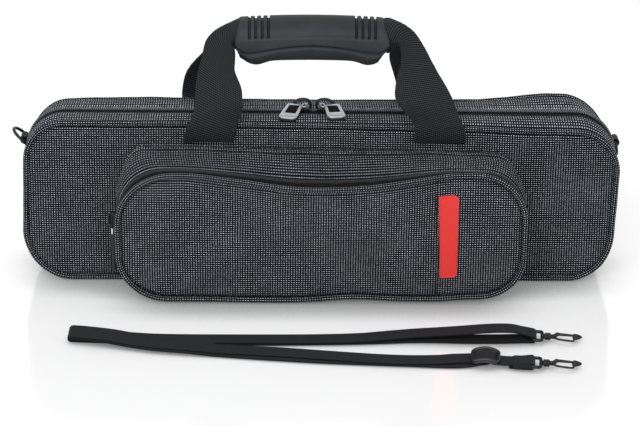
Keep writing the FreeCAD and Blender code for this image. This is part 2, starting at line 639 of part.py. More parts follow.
def slider(node, lean):
    """Two plates joined by a post, with an arched bar on top for the pull."""
    nose = "slider_middle + %d * slider_gap / 2" % lean
    tail = "%s + %d * slider_length" % (nose, lean)
    left, right = (tail, nose) if lean < 0 else (nose, tail)
    top = block(node + "_top", left, right, "-slider_width / 2", "slider_width / 2", PLATE_LOW, PLATE_TOP)
    low = block(node + "_low", left, right, "-slider_width / 2", "slider_width / 2",
                "%s - slider_clearance - slider_plate" % COIL_LOW, "%s - slider_clearance" % COIL_LOW)
    post_left, post_right = (nose + " - 4", nose) if lean < 0 else (nose, nose + " + 4")
    post = block(node + "_post", post_left, post_right, "-slider_post / 2", "slider_post / 2",
                 "%s - slider_clearance - slider_plate / 2" % COIL_LOW, "%s + slider_plate / 2" % PLATE_LOW)
    middle = "%s + %d * slider_length / 2" % (nose, lean)
    bar_left = "%s - bridge_span / 2" % middle
    bar = rod(node + "_bar", "bridge_radius", "bridge_span", (bar_left, "0", BAR_AT), "X")
    legs = []
    for word, start in (("a", bar_left), ("b", "%s + bridge_span / 2 - 2 * bridge_radius" % middle)):
        legs.append(block("%s_leg_%s" % (node, word), start, start + " + 2 * bridge_radius", "-bridge_radius * 0.8",
                          "bridge_radius * 0.8", "%s - slider_plate / 2" % PLATE_TOP, BAR_AT))
    sub_part(fuse(node, top, low, post, bar, *legs), node)


def pull(node, lean):
    """A flat framed pull whose eye goes round the slider's bar and whose tip rests on the front gusset."""
    x_middle = size("slider_middle") + lean * (size("slider_gap") + size("slider_length")) / 2
    bar_z = (size("case_height") - size("coil_depth") + size("coil_radius") + size("slider_clearance")
             + size("slider_plate") + size("bridge_height"))
    eye = size("bridge_radius") + size("pull_eye_clearance")
    thick = size("pull_thickness")
    width = size("pull_width")
    length = size("pull_length")
    rest_gap = 0.3
    drop = bar_z - (size("case_height") + rest_gap + thick / 2)
    tilt = math.degrees(math.asin(drop / length))
    shift = lean * size("pull_shift")
    eye_wide = 3.0
    neck_long = 9.5
    plate_start = 6.0
    corner = 2.5
    frame_side = 2.3
    solid_end = 8.0
    ring = Part.makeCylinder(eye + thick, eye_wide, Vector(-eye_wide / 2, 0, 0), Vector(1, 0, 0))
    neck = Part.makeBox(eye_wide, neck_long, thick, Vector(-eye_wide / 2, -neck_long, -thick / 2))
    plate = Part.makeBox(width, length - plate_start, thick, Vector(shift - width / 2, -length, -thick / 2))
    upright = [edge for edge in plate.Edges if abs(edge.tangentAt(edge.FirstParameter).z) > 0.9]
    plate = plate.makeFillet(corner, upright)
    window = Part.makeBox(width - 2 * frame_side, length - 2 * solid_end, 3 * thick,
                          Vector(shift - width / 2 + frame_side, -length + solid_end, -1.5 * thick))
    bore = Part.makeCylinder(eye, 2 * eye_wide, Vector(-eye_wide, 0, 0), Vector(1, 0, 0))
    shape = ring.fuse([neck, plate]).cut(window.fuse(bore)).removeSplitter()
    feature = set_shape(node, shape)
    feature.Placement = Placement(Vector(x_middle, 0, bar_z), Rotation(Vector(1, 0, 0), tilt))
    return feature


for word, lean in (("left", -1), ("right", 1)):
    slider("slider_" + word, lean)
    pull("pull_" + word, lean)

# ---------------------------------------------------------------- D-rings on their tabs
for word, lean in (("left", -1), ("right", 1)):
    at_x = "%d * (case_length / 2 + ring_offset)" % lean
    tab_front = "ring_middle - tab_width / 2"
    loop = rod("tab_loop_" + word, "tab_radius", "tab_width", (at_x, tab_front, "ring_height"), "Y")
    skin = "%d * (case_length / 2 - panel_setback + sewn_clearance)" % lean
    left, right = (at_x, skin) if lean < 0 else (skin, at_x)
    bridge = block("tab_bridge_" + word, left, right, tab_front, tab_front + " + tab_width",
                   "ring_height - tab_radius", "ring_height")
    outer = "%s + %d * web_thickness" % (skin, lean)
    left, right = (outer, skin) if lean < 0 else (skin, outer)
    sewn = block("tab_sewn_" + word, left, right, tab_front, tab_front + " + tab_width",
                 "ring_height - tab_height", "ring_height - tab_radius / 2")
    bore = rod("tab_bore_" + word, "ring_wire + bar_clearance", "2 * tab_width",
               (at_x, "ring_middle - tab_width", "ring_height"), "Y")
    sub_part(cut("ring_tab_" + word, fuse("tab_solid_" + word, loop, bridge, sewn), bore), "ring_tab_" + word)


def d_ring(node, lean):
    """A wire ring: a straight bar along Y and a bow that reaches away from the case."""
    wire = size("ring_wire")
    reach = size("ring_reach") - 2 * wire
    across = size("ring_width") / 2 - wire
    straight = reach - across
    bar = Part.makeCylinder(wire, 2 * across, Vector(0, -across, 0), Vector(0, 1, 0))
    bow = Part.makeTorus(across, wire, Vector(straight, 0, 0), Vector(0, 0, 1), -180, 180, 180)
    bow.rotate(Vector(straight, 0, 0), Vector(0, 0, 1), -90)
    solid = bar.fuse(bow)
    for end in (-across, across):
        solid = solid.fuse(Part.makeSphere(wire, Vector(0, end, 0)))
        solid = solid.fuse(Part.makeCylinder(wire, straight, Vector(0, end, 0), Vector(1, 0, 0)))
    feature = set_shape(node, solid)
    # The left ring stands out from its tab and the right one hangs down beside the case.
    up = Rotation(Vector(0, 1, 0), 80.0) if lean > 0 else Rotation(Vector(0, 1, 0), -139.0)
    place = Vector(lean * (size("case_length") / 2 + size("ring_offset")), size("ring_middle"), size("ring_height"))
    feature.Placement = Placement(place, up)


d_ring("ring_left", -1)
d_ring("ring_right", 1)

# ---------------------------------------------------------------- pocket slider and pull
POCKET_SIDE = "-(pocket_length / 2 - panel_setback)"
SLIDER_X = "%s - sewn_clearance" % POCKET_SIDE
SLIDER_Y = "-(%s)" % FLAP_BAND_AT
SLIDER_Z = "pocket_zip_end + sewn_clearance"
base = block("pocket_slider_plate", "%s - slider_plate" % SLIDER_X, SLIDER_X, "%s - pocket_slider_width / 2" % SLIDER_Y,
             "%s + pocket_slider_width / 2" % SLIDER_Y, SLIDER_Z, "%s + pocket_slider_length" % SLIDER_Z)
POCKET_BAR_X = "%s - slider_plate - pocket_bar_rise" % SLIDER_X
arch = rod("pocket_slider_bar", "bridge_radius", "pocket_slider_length",
           (POCKET_BAR_X, SLIDER_Y, SLIDER_Z), "Z")
feet = []
for word, lift in (("low", "0"), ("high", "pocket_slider_length - 2 * bridge_radius")):
    feet.append(block("pocket_slider_foot_" + word, POCKET_BAR_X, "%s - slider_plate / 2" % SLIDER_X,
                      "%s - bridge_radius" % SLIDER_Y, "%s + bridge_radius" % SLIDER_Y,
                      "%s + %s" % (SLIDER_Z, lift), "%s + %s + 2 * bridge_radius" % (SLIDER_Z, lift)))
sub_part(fuse("pocket_slider", base, arch, *feet), "pocket_slider")

# The pull hangs from a cross bar that lies under the slider's bar; its arms pass either side of it.
PULL_X = "%s - slider_plate - pocket_pull_rise" % SLIDER_X
PULL_Z = "%s + 2 * bridge_radius + 0.7" % SLIDER_Z
ARM_IN = "(bridge_radius + 0.3)"
ARM_OUT = "(bridge_radius + 1.1)"
ARM_DROP = 5.0
cross = rod("pocket_pull_cross", "0.5", "2 * " + ARM_OUT, (PULL_X, "%s - %s" % (SLIDER_Y, ARM_OUT), PULL_Z), "Y")
arms = []
for word, near, far in (("front", "-" + ARM_OUT, "-" + ARM_IN), ("back", ARM_IN, ARM_OUT)):
    arms.append(block("pocket_pull_arm_" + word, PULL_X + " - 0.5", PULL_X + " + 0.5", "%s + %s" % (SLIDER_Y, near),
                      "%s + %s" % (SLIDER_Y, far), "%s - %s" % (PULL_Z, ARM_DROP + 1.0), PULL_Z))
tongue = block("pocket_pull_tongue", PULL_X + " - 0.5", PULL_X + " + 0.5", "%s - pocket_pull_width / 2" % SLIDER_Y,
               "%s + pocket_pull_width / 2" % SLIDER_Y, "%s - pocket_pull_length" % PULL_Z,
               "%s - %s" % (PULL_Z, ARM_DROP))
sub_part(fuse("pocket_pull", cross, tongue, *arms), "pocket_pull")

# ---------------------------------------------------------------- shoulder strap, laid in front of the case
# Middle line of each doubled run: X, Y and the height of its underside.
LANE_A = [(-179.5, -142.5, 0.0), (-150.0, -144.5, 0.0), (-110.0, -147.2, 0.0), (-40.0, -147.6, 0.0), (0.0, -146.6, 0.0),
          (45.0, -143.6, 0.0), (85.0, -142.4, 0.0), (148.6, -142.0, 0.0)]
LANE_B = [(-179.5, -142.5, 2.4), (-150.0, -147.6, 2.4), (-120.0, -154.6, 2.4), (-90.0, -161.6, 1.6), (-66.0, -166.4, 0.0),
          (-33.0, -171.6, 0.0), (0.0, -176.2, 0.0), (45.0, -181.6, 0.0), (90.0, -183.0, 0.0), (112.0, -184.2, 0.0),
          (129.2, -186.0, 0.0)]


def lane(points):
    """Two layers of webbing lying on each other along a hand-set line."""
    thick = 2 * size("strap_thickness")
    half_width = size("strap_width") / 2
    edges = []
    for index, (x, y, low) in enumerate(points):
        before = points[max(index - 1, 0)]
        after = points[min(index + 1, len(points) - 1)]
        across = Vector(before[1] - after[1], after[0] - before[0], 0).normalize() * half_width
        middle = Vector(x, y, low + thick / 2)
        edges.append((middle + across, middle - across))
    sections = []
    lift = Vector(0, 0, thick / 2)
    for a, b in edges:
        sections.append(Part.makePolygon([a + lift, b + lift, b - lift, a - lift, a + lift]))
    return Part.makeLoft(sections, True, True)


set_shape("strap_webbing", lane(LANE_A).fuse(lane(LANE_B)).removeSplitter())
print("strap pieces", len(doc.getObject("strap_webbing").Shape.Solids))


def local(shape, place, heading):
    """Turn a shape built along +X to a heading in the floor plane and move it."""
    moved = shape.copy()
    moved.Placement = Placement(Vector(*place), Rotation(Vector(0, 0, 1), heading)).multiply(moved.Placement)
    return moved


def hook(letter, place, heading):
    """A swivel snap hook: strap eye with its pin, cast body and sprung gate, built along +X."""
    wire = size("hook_wire")
    eye_long = size("hook_eye_length")
    eye_wide = size("hook_eye_width")
    pin_head = 2.0
    frame = Part.makeBox(eye_long, eye_wide, 2 * wire, Vector(0, -eye_wide / 2, -wire))
    hole = Part.makeBox(eye_long - 4 * wire, eye_wide - 4 * wire, 6 * wire,
                        Vector(2 * wire, -eye_wide / 2 + 2 * wire, -3 * wire))
    pin = Part.makeCylinder(size("swivel_radius"), size("swivel_length") + pin_head, Vector(eye_long - wire, 0, 0),
                            Vector(1, 0, 0))
    eye = frame.cut(hole).fuse(pin).removeSplitter()
    set_shape("hook_eye_" + letter, local(eye, place, heading))

    barrel_gap = 0.4
    barrel_wall = 1.4
    barrel_overlap = 0.5
    heel = 4.5
    rounding = 3.0
    thick = size("hook_thickness")
    wide = size("hook_width")
    arm = size("hook_arm")
    long = size("hook_length")
    start = eye_long + barrel_gap
    body_at = start + size("swivel_length") - barrel_overlap
    barrel = Part.makeCylinder(size("swivel_radius") + barrel_wall, size("swivel_length"), Vector(start, 0, 0),
                               Vector(1, 0, 0))
    bore = Part.makeCylinder(size("swivel_radius") + size("swivel_clearance"), size("swivel_length") + 2 + barrel_overlap,
                             Vector(start - 1, 0, 0), Vector(1, 0, 0))
    block_solid = Part.makeBox(long, wide, thick, Vector(body_at, -wide / 2, -thick / 2))
    corners = [edge for edge in block_solid.Edges if abs(edge.tangentAt(edge.FirstParameter).z) > 0.9]
    block_solid = block_solid.makeFillet(rounding, corners)
    window_long = long - heel - arm
    window = Part.makeBox(window_long, wide - 2 * arm, 2 * thick, Vector(body_at + heel, -wide / 2 + arm, -thick))
    mouth = Part.makeBox(window_long, arm + 1, 2 * thick, Vector(body_at + heel, wide / 2 - arm, -thick))
    body = barrel.fuse(block_solid).cut(window.fuse([mouth, bore])).removeSplitter()
    set_shape("hook_body_" + letter, local(body, place, heading))

    gap = 0.3
    gate_share = 0.7
    half_gate = (arm - gap) / 2
    root = body_at + heel + gap + half_gate
    gate_long = window_long - 2 * gap - half_gate
    gate_thick = gate_share * thick
    gate_low = -gate_thick / 2
    bar = Part.makeBox(gate_long, 2 * half_gate, gate_thick, Vector(root, wide / 2 - arm, gate_low))
    eye_end = Part.makeCylinder(half_gate, gate_thick, Vector(root, wide / 2 - arm + half_gate, gate_low))
    gate = bar.fuse(eye_end).removeSplitter()
    set_shape("hook_gate_" + letter, local(gate, place, heading))
    pivot = local(Part.Vertex(root, wide / 2 - arm + half_gate, 0), place, heading).Point
    print("hook %s: gate pivot %.3f %.3f %.3f" % (letter, *pivot))


HOOK_A = (149.7, -141.9, size("hook_lift"))
HOOK_B = (144.5, -187.6, size("hook_lift"))
HOOK_HEADING = -6.0
hook("a", HOOK_A, HOOK_HEADING)
hook("b", HOOK_B, HOOK_HEADING)


def sewn_block(place, heading):
    """The stitched end of the webbing that holds the second hook."""
    wide = size("strap_width")
    thick = 3 * size("strap_thickness")
    sleeve_long = 14.2
    sleeve_gap = 0.4
    solid = Part.makeBox(sleeve_long, wide, thick, Vector(-sleeve_long - sleeve_gap, -wide / 2, -thick / 2))
    return local(solid, place, heading)


def triglide(place, heading):
    """A three-bar slide: a frame with a middle bar, over and under which the webbing runs."""
    long = size("triglide_length")
    wide = size("triglide_width")
    thick = size("triglide_thickness")
    rim = (wide - size("strap_width")) / 2 - 0.5
    frame = Part.makeBox(long, wide, thick, Vector(-long / 2, -wide / 2, 0))
    corners = [edge for edge in frame.Edges if abs(edge.tangentAt(edge.FirstParameter).z) > 0.9]
    frame = frame.makeFillet(4.0, corners)
    bar = 3.0
    hole_long = (long - 2 * rim - bar) / 2
    for middle in (-(bar + hole_long) / 2, (bar + hole_long) / 2):
        frame = frame.cut(Part.makeBox(hole_long, wide - 2 * rim, 3 * thick,
                                       Vector(middle - hole_long / 2, -wide / 2 + rim, -thick)))
    return local(frame, place, heading)


set_shape("strap_end", sewn_block((HOOK_B[0], HOOK_B[1], 1.5 * size("strap_thickness")), HOOK_HEADING))
set_shape("triglide", triglide((114.0, -181.1, 2 * size("strap_thickness") + 0.3), HOOK_HEADING))

# ---------------------------------------------------------------- checks and files
doc.recompute()
for item in doc.Objects:
    if "Invalid" in item.State or "Error" in item.State:
        raise RuntimeError("failed object: %s %s" % (item.Name, item.State))
for node, item in NODES:
    shape = item.Shape
    if shape.isNull() or not shape.isValid() or shape.Volume <= 0:
        raise RuntimeError("bad shape: " + node)
    print("%-24s solids %d volume %9.1f" % (node, len(shape.Solids), shape.Volume))
for node, item in NODES:
    item.Shape.exportStep("parts/%s.step" % node)
print(len(NODES), "pieces written")
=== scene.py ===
# %% [markdown]
# # A soft flute case
# The case is two padded halves joined by a zipper, with a zipped pocket on the front, two webbing
# handles that meet in a moulded grip, and a loose shoulder strap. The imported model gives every
# piece its place and its motion. This script dresses it: cloth, seams, teeth, webbing and metal.

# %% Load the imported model
import math

import bmesh
import bpy
import numpy as np
from mathutils import Matrix, Vector


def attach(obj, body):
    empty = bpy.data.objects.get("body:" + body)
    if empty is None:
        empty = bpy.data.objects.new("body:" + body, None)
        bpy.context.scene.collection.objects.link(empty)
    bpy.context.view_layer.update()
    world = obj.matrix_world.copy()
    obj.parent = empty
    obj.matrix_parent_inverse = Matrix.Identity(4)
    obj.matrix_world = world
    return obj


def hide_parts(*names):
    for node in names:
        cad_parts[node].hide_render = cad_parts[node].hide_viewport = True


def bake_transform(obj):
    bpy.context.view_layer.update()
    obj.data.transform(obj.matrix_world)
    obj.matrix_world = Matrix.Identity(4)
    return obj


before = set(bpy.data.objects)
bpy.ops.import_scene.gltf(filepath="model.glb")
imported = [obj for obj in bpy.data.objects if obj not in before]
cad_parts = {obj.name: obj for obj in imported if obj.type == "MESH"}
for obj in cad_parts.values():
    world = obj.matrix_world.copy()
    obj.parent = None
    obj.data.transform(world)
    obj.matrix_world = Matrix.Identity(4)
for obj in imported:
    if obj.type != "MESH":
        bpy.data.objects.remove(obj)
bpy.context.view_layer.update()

# %% [markdown]
# Lengths below are in millimetres, as on a pattern sheet, and become metres in one place. Seeds
# are fixed, so that the cloth falls the same way on each run.

# %% Units and small number tools
MM = 0.001
UV_NAME = "cloth_mm"


def ease(value, low, high):
    """0 below low, 1 above high and a smooth step between."""
    t = np.clip((np.asarray(value, float) - low) / (high - low), 0.0, 1.0)
    return t * t * (3.0 - 2.0 * t)


def curve_through(points, count):
    """A smooth line through a few points, as count points evenly spread between the first and last."""
    p = np.asarray(points, float)
    p = np.vstack([2 * p[0] - p[1], p, 2 * p[-1] - p[-2]])
    t = np.linspace(0, len(p) - 3 - 1e-9, count)
    k = t.astype(int)
    f = (t - k)[:, None]
    a, b, c, d = p[k], p[k + 1], p[k + 2], p[k + 3]
    return 0.5 * (2 * b + (c - a) * f + (2 * a - 5 * b + 4 * c - d) * f**2 + (3 * b - a - 3 * c + d) * f**3)


def drift(x, z, size, seed):
    """Slow hills and hollows between -1 and 1, about as wide as size, for cloth that isn't flat."""
    waves = np.random.default_rng(seed).uniform(0.6, 1.5, (5, 2)) * 2 * math.pi / size
    turns = np.random.default_rng(seed + 1).uniform(0, 2 * math.pi, (5, 2))
    total = 0.0
    for (a, b), (c, d) in zip(waves, turns):
        total = total + np.sin(a * x + c) * np.sin(b * z + d)
    return total / 3.0


def arc_along(run):
    """Distance along a line of points, from 0 at its start."""
    return np.concatenate([[0], np.cumsum(np.linalg.norm(np.diff(run, axis=0), axis=1))])


def read_at(run, arc, at):
    """Points of a line at some distances along it."""
    return np.stack([np.interp(at, arc, run[:, k]) for k in range(run.shape[1])], -1)


# %% [markdown]
# Almost every soft piece is a sheet, and a sheet is a grid of points: one direction runs along the
# piece, the other across it. One function turns such a grid into a mesh. Given a second grid for
# the reverse side it closes the rim, so that cloth has a real thickness. It also lays out the
# coordinates that the weave follows, in millimetres measured along the cloth.

# %% Sheets and tubes from grids of points
def lay_out(grid, wrap_u, wrap_v):
    """Millimetres along and across a grid, measured on the sheet itself."""
    if wrap_u:
        grid = np.concatenate([grid, grid[:1]], 0)
    if wrap_v:
        grid = np.concatenate([grid, grid[:, :1]], 1)
    step_u = np.linalg.norm(np.diff(grid, axis=0), axis=2).mean(1)
    step_v = np.linalg.norm(np.diff(grid, axis=1), axis=2).mean(0)
    u = np.concatenate([[0], np.cumsum(step_u)])
    v = np.concatenate([[0], np.cumsum(step_v)])
    return np.stack(np.meshgrid(u, v, indexing="ij"), -1)


def make_mesh(name, points, faces, face_uvs, sharp=50.0):
    """A mesh object in metres from points in millimetres."""
    mesh = bpy.data.meshes.new(name)
    mesh.from_pydata((np.asarray(points, float) * MM).tolist(), [], faces)
    layer = mesh.uv_layers.new(name=UV_NAME)
    layer.data.foreach_set("uv", np.concatenate([np.asarray(uv, float) for uv in face_uvs]).ravel())
    work = bmesh.new()
    work.from_mesh(mesh)
    bmesh.ops.remove_doubles(work, verts=work.verts, dist=1e-6)
    bmesh.ops.recalc_face_normals(work, faces=work.faces)
    work.to_mesh(mesh)
    work.free()
    mesh.shade_smooth()
    mesh.set_sharp_from_angle(angle=math.radians(sharp))
    piece = bpy.data.objects.new(name, mesh)
    bpy.context.scene.collection.objects.link(piece)
    return piece


def skin(name, grid, wrap_u=False, wrap_v=False, reverse=None, uv=None, caps=False, sharp=50.0):
    """A sheet, tube or ring from a grid of points; reverse is the grid of its other side."""
    grid = np.asarray(grid, float)
    n, m = grid.shape[:2]
    uv = lay_out(grid, wrap_u, wrap_v) if uv is None else uv
    i, j = np.meshgrid(np.arange(n if wrap_u else n - 1), np.arange(m if wrap_v else m - 1), indexing="ij")
    i, j = i.ravel(), j.ravel()
    corners = [(i, j), (i + 1, j), (i + 1, j + 1), (i, j + 1)]
    quads = np.stack([(a % n) * m + b % m for a, b in corners], -1)
    quad_uvs = np.stack([uv[a, b] for a, b in corners], 1)
    points = [grid.reshape(-1, 3)]
    faces = quads.tolist()
    face_uvs = list(quad_uvs)
    if reverse is not None:
        points.append(np.asarray(reverse, float).reshape(-1, 3))
        faces += (quads[:, ::-1] + n * m).tolist()
        face_uvs += list(quad_uvs[:, ::-1])
        rims = []
        if not wrap_v:
            rims += [[(k, 0) for k in range(n)] + ([(0, 0)] if wrap_u else [])]
            rims += [[(k, m - 1) for k in range(n)] + ([(0, m - 1)] if wrap_u else [])]
        if not wrap_u:
            rims += [[(0, k) for k in range(m)] + ([(0, 0)] if wrap_v else [])]
            rims += [[(n - 1, k) for k in range(m)] + ([(n - 1, 0)] if wrap_v else [])]
        for rim in rims:
            for (a, b), (c, d) in zip(rim, rim[1:]):
                faces.append([a * m + b, c * m + d, c * m + d + n * m, a * m + b + n * m])
                face_uvs.append([uv[a, b], uv[c, d], uv[c, d], uv[a, b]])
    if caps:
        for row in (0, n - 1):
            faces.append([row * m + k for k in range(m)])
            face_uvs.append([uv[row, k] for k in range(m)])
    return make_mesh(name, np.concatenate(points), faces, face_uvs, sharp)


def tube(name, path, radius, sides=12, closed=False, up=(0, 1, 0), flat=1.0):
    """A round cord or wire along a path; up lies across it, and flat squeezes it along up."""
    path = np.asarray(path, float)
    if closed:
        tangent = np.roll(path, -1, 0) - np.roll(path, 1, 0)
    else:
        tangent = np.gradient(path, axis=0)
    tangent /= np.linalg.norm(tangent, axis=1)[:, None]
    side = np.cross(tangent, np.asarray(up, float))
    side /= np.linalg.norm(side, axis=1)[:, None]
    lift = np.cross(side, tangent)
    angle = np.linspace(0, 2 * math.pi, sides, endpoint=False)
    radius = np.asarray(radius, float) * np.ones(len(path))
    ring = np.cos(angle)[None, :, None] * side[:, None] + flat * np.sin(angle)[None, :, None] * lift[:, None]
    grid = path[:, None] + radius[:, None, None] * ring
    return skin(name, grid, wrap_u=closed, wrap_v=True, caps=not closed)


def join(name, parts):
    """Several small meshes as one piece."""
    work = bmesh.new()
    for part in parts:
        work.from_mesh(part.data)
    mesh = bpy.data.meshes.new(name)
    work.to_mesh(mesh)
    work.free()
    for part in parts:
        old = part.data
        bpy.data.objects.remove(part)
        bpy.data.meshes.remove(old)
    piece = bpy.data.objects.new(name, mesh)
    bpy.context.scene.collection.objects.link(piece)
    return piece


def dress(piece, finish, slot, body, *nodes):
    """Give a piece its finish, its body and the solids that it stands for, and print its name."""
    piece.data.materials.clear()
    piece.data.materials.append(finish)
    if body:
        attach(piece, body)
    if nodes:
        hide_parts(*nodes)
    print(piece.name, len(piece.data.polygons), "faces")
    return piece


print("grid tools ready")

# %% [markdown]
# The camera stands about 1.9 m away with a long lens, looking down at 21 degrees, as a product is
# usually shown. The view rolls by half a degree and turns by one, so it isn't built on an axis.

# %% Camera
TARGET = Vector((0.0, -0.020, 0.060))
DISTANCE = 1.9
ELEVATION = math.radians(20.88)
TURN = math.radians(-1.0)
ROLL = math.radians(0.6)
FOCAL_PIXELS = 2528.0
FRAME_WIDTH, FRAME_HEIGHT = 640, 426
TARGET_AT = (320.5, 199.5)      # where the target lies in the frame, from the top left

flat_share = math.cos(ELEVATION)
back = Vector((math.sin(TURN) * flat_share, -math.cos(TURN) * flat_share, math.sin(ELEVATION)))
level = (-back).cross(Vector((0, 0, 1))).normalized()
upright = level.cross(-back)
right = math.cos(ROLL) * level + math.sin(ROLL) * upright
above = -math.sin(ROLL) * level + math.cos(ROLL) * upright
aim = -back - right * (TARGET_AT[0] - FRAME_WIDTH / 2) / FOCAL_PIXELS
aim = (aim - above * (FRAME_HEIGHT / 2 - TARGET_AT[1]) / FOCAL_PIXELS).normalized()
right = aim.cross(above).normalized()
above = right.cross(aim)

lens = bpy.data.cameras.new("camera")
lens.sensor_width = 36.0
lens.lens = FOCAL_PIXELS / FRAME_WIDTH * lens.sensor_width
lens.clip_end = 50.0
camera = bpy.data.objects.new("camera", lens)
bpy.context.scene.collection.objects.link(camera)
camera.location = TARGET + back * DISTANCE
camera.rotation_mode = "QUATERNION"
columns = ((right.x, above.x, -aim.x), (right.y, above.y, -aim.y), (right.z, above.z, -aim.z))
camera.rotation_quaternion = Matrix(columns).to_quaternion()
bpy.context.scene.camera = camera
print("lens", round(lens.lens, 1), "mm at", camera.location)

# %% [markdown]
# A finish is a node tree. One function adds a node, sets its properties and fills its sockets with
# a value or a link, so that a whole finish reads from top to bottom. Colours are written as hex
# values, as a paint chart or a screen gives them, and turned to linear light in one place.

# %% Colour and node helpers
def colour(code):
    """A hex colour as linear red, green, blue and alpha."""
    shares = [int(code[k:k + 2], 16) / 255 for k in (1, 3, 5)]
    return tuple(s / 12.92 if s <= 0.04045 else ((s + 0.055) / 1.055) ** 2.4 for s in shares) + (1.0,)


def add(tree, kind, settings=None, inputs=None):
    """Add one node. Settings are its properties; inputs are values, nodes or sockets."""
    made = tree.nodes.new(kind)
    for key, value in (settings or {}).items():
        setattr(made, key, value)
    for key, value in (inputs or {}).items():
        if isinstance(value, bpy.types.Node):
            value = value.outputs[0]
        if isinstance(value, bpy.types.NodeSocket):
            tree.links.new(value, made.inputs[key])
        else:
            made.inputs[key].default_value = value
    return made


def new_finish(name):
    """A material whose node tree is empty."""
    finish = bpy.data.materials.new(name)
    finish.use_nodes = True
    finish.node_tree.nodes.clear()
    return finish, finish.node_tree


def close_finish(tree, inputs):
    """The shader that every finish ends in, and the output."""
    shader = add(tree, "ShaderNodeBsdfPrincipled", None, inputs)
    add(tree, "ShaderNodeOutputMaterial", None, {"Surface": shader})


print("node tools ready, middle grey is", [round(c, 3) for c in colour("#808080")])

# %% [markdown]
# The room is a white sweep with one large soft light in front, a little above the camera, and a
# weak one overhead. The light stays at a plain level. The floor reads white because the rays that
# the camera sends see a little of its own light added. It still takes the shadow of the case, and
# Ambient Occlusion deepens that shadow on the front side, where the key light nearly fills it.

# %% Floor, sky and lights
FLOOR_SIZE = 12.0
FLOOR_GLOW = 0.34
FLOOR_DROP = 0.0004             # keeps the floor just under what stands on it
CONTACT_REACH = 0.040           # metres over which the floor darkens towards the case
CONTACT_LEAN = (0.0, 0.92, 0.39)    # the way that the floor looks for what shades it
SKY_LIGHT = 0.50

floor_mesh = bpy.data.meshes.new("floor")
reach = FLOOR_SIZE / 2
floor_mesh.from_pydata([(-reach, -reach, 0), (reach, -reach, 0), (reach, reach, 0), (-reach, reach, 0)],
                       [], [(0, 1, 2, 3)])
floor = bpy.data.objects.new("floor", floor_mesh)
bpy.context.scene.collection.objects.link(floor)
floor.location.z = -FLOOR_DROP


def seen_share(tree):
    """1 for the rays that show a thing, straight, mirrored or through glass, and 0 for light."""
    rays = add(tree, "ShaderNodeLightPath")
    seen = add(tree, "ShaderNodeMath", {"operation": "MAXIMUM"},
               {0: rays.outputs["Is Camera Ray"], 1: rays.outputs["Is Glossy Ray"]})
    return add(tree, "ShaderNodeMath", {"operation": "MAXIMUM"},
               {0: seen, 1: rays.outputs["Is Transmission Ray"]})


paper, tree = new_finish("white_paper_sweep")
lean = add(tree, "ShaderNodeCombineXYZ", None, dict(zip("XYZ", CONTACT_LEAN)))
open_sky = add(tree, "ShaderNodeAmbientOcclusion", {"samples": 8},
               {"Distance": CONTACT_REACH, "Normal": lean})
open_sky = add(tree, "ShaderNodeMapRange", {"interpolation_type": "SMOOTHSTEP"},
               {"Value": open_sky.outputs["AO"], "From Min": 0.1, "From Max": 0.95, "To Min": 0.3})
glow = add(tree, "ShaderNodeMath", {"operation": "MULTIPLY"}, {0: seen_share(tree), 1: FLOOR_GLOW})
glow = add(tree, "ShaderNodeMath", {"operation": "MULTIPLY"}, {0: glow, 1: open_sky})
paint = add(tree, "ShaderNodeVectorMath", {"operation": "SCALE"},
            {0: colour("#ededed")[:3], "Scale": open_sky.outputs[0]})
close_finish(tree, {"Base Color": paint, "Roughness": 0.13, "IOR": 1.9,
                    "Emission Color": (1, 1, 1, 1), "Emission Strength": glow})
floor_mesh.materials.append(paper)

world = bpy.data.worlds.new("studio")
bpy.context.scene.world = world
world.use_nodes = True
world.node_tree.nodes.clear()
tree = world.node_tree
strength = add(tree, "ShaderNodeMapRange", None,
               {"Value": seen_share(tree), "To Min": SKY_LIGHT, "To Max": 1.0})
sky = add(tree, "ShaderNodeBackground", None, {"Color": (1, 1, 1, 1), "Strength": strength})
add(tree, "ShaderNodeOutputWorld", None, {"Surface": sky})


def softbox(name, place, watts, width, depth):
    """A large area light aimed at the case."""
    lamp = bpy.data.lights.new(name, "AREA")
    lamp.shape = "RECTANGLE"
    lamp.size = width
    lamp.size_y = depth
    lamp.energy = watts
    holder = bpy.data.objects.new(name, lamp)
    bpy.context.scene.collection.objects.link(holder)
    holder.location = place
    holder.rotation_mode = "QUATERNION"
    holder.rotation_quaternion = (TARGET - Vector(place)).to_track_quat("-Z", "Y")


softbox("front_key", (-0.35, -1.75, 1.25), 24.0, 1.5, 1.1)
softbox("overhead", (0.0, 0.5, 1.7), 2.0, 1.8, 1.0)
bpy.context.scene.view_settings.view_transform = "Standard"
print("floor, sky and two soft lights")
# %% [markdown]
# ## The finishes
# The main cloth is a polyester tweed: near-black yarn with a pale fleck wherever a light thread
# comes to the surface. Flecks sit on a grid of 1.84 by 1.70 mm, apart from each other both ways.
# Each fleck has its own brightness, and slow clouds of light and dark come from uneven yarn.
# The pattern is drawn on the laid-out millimetres, so it turns every corner with the cloth.

# %% Woven cloth
FLECK_PITCH = (1.84, 1.70)
FLECK_HALF = (0.235, 0.14)
ACROSS_PITCH = (1.84, 4.05)     # cloth that is cut across the roll and pulled tight over an edge
ACROSS_HALF = (0.23, 0.22)


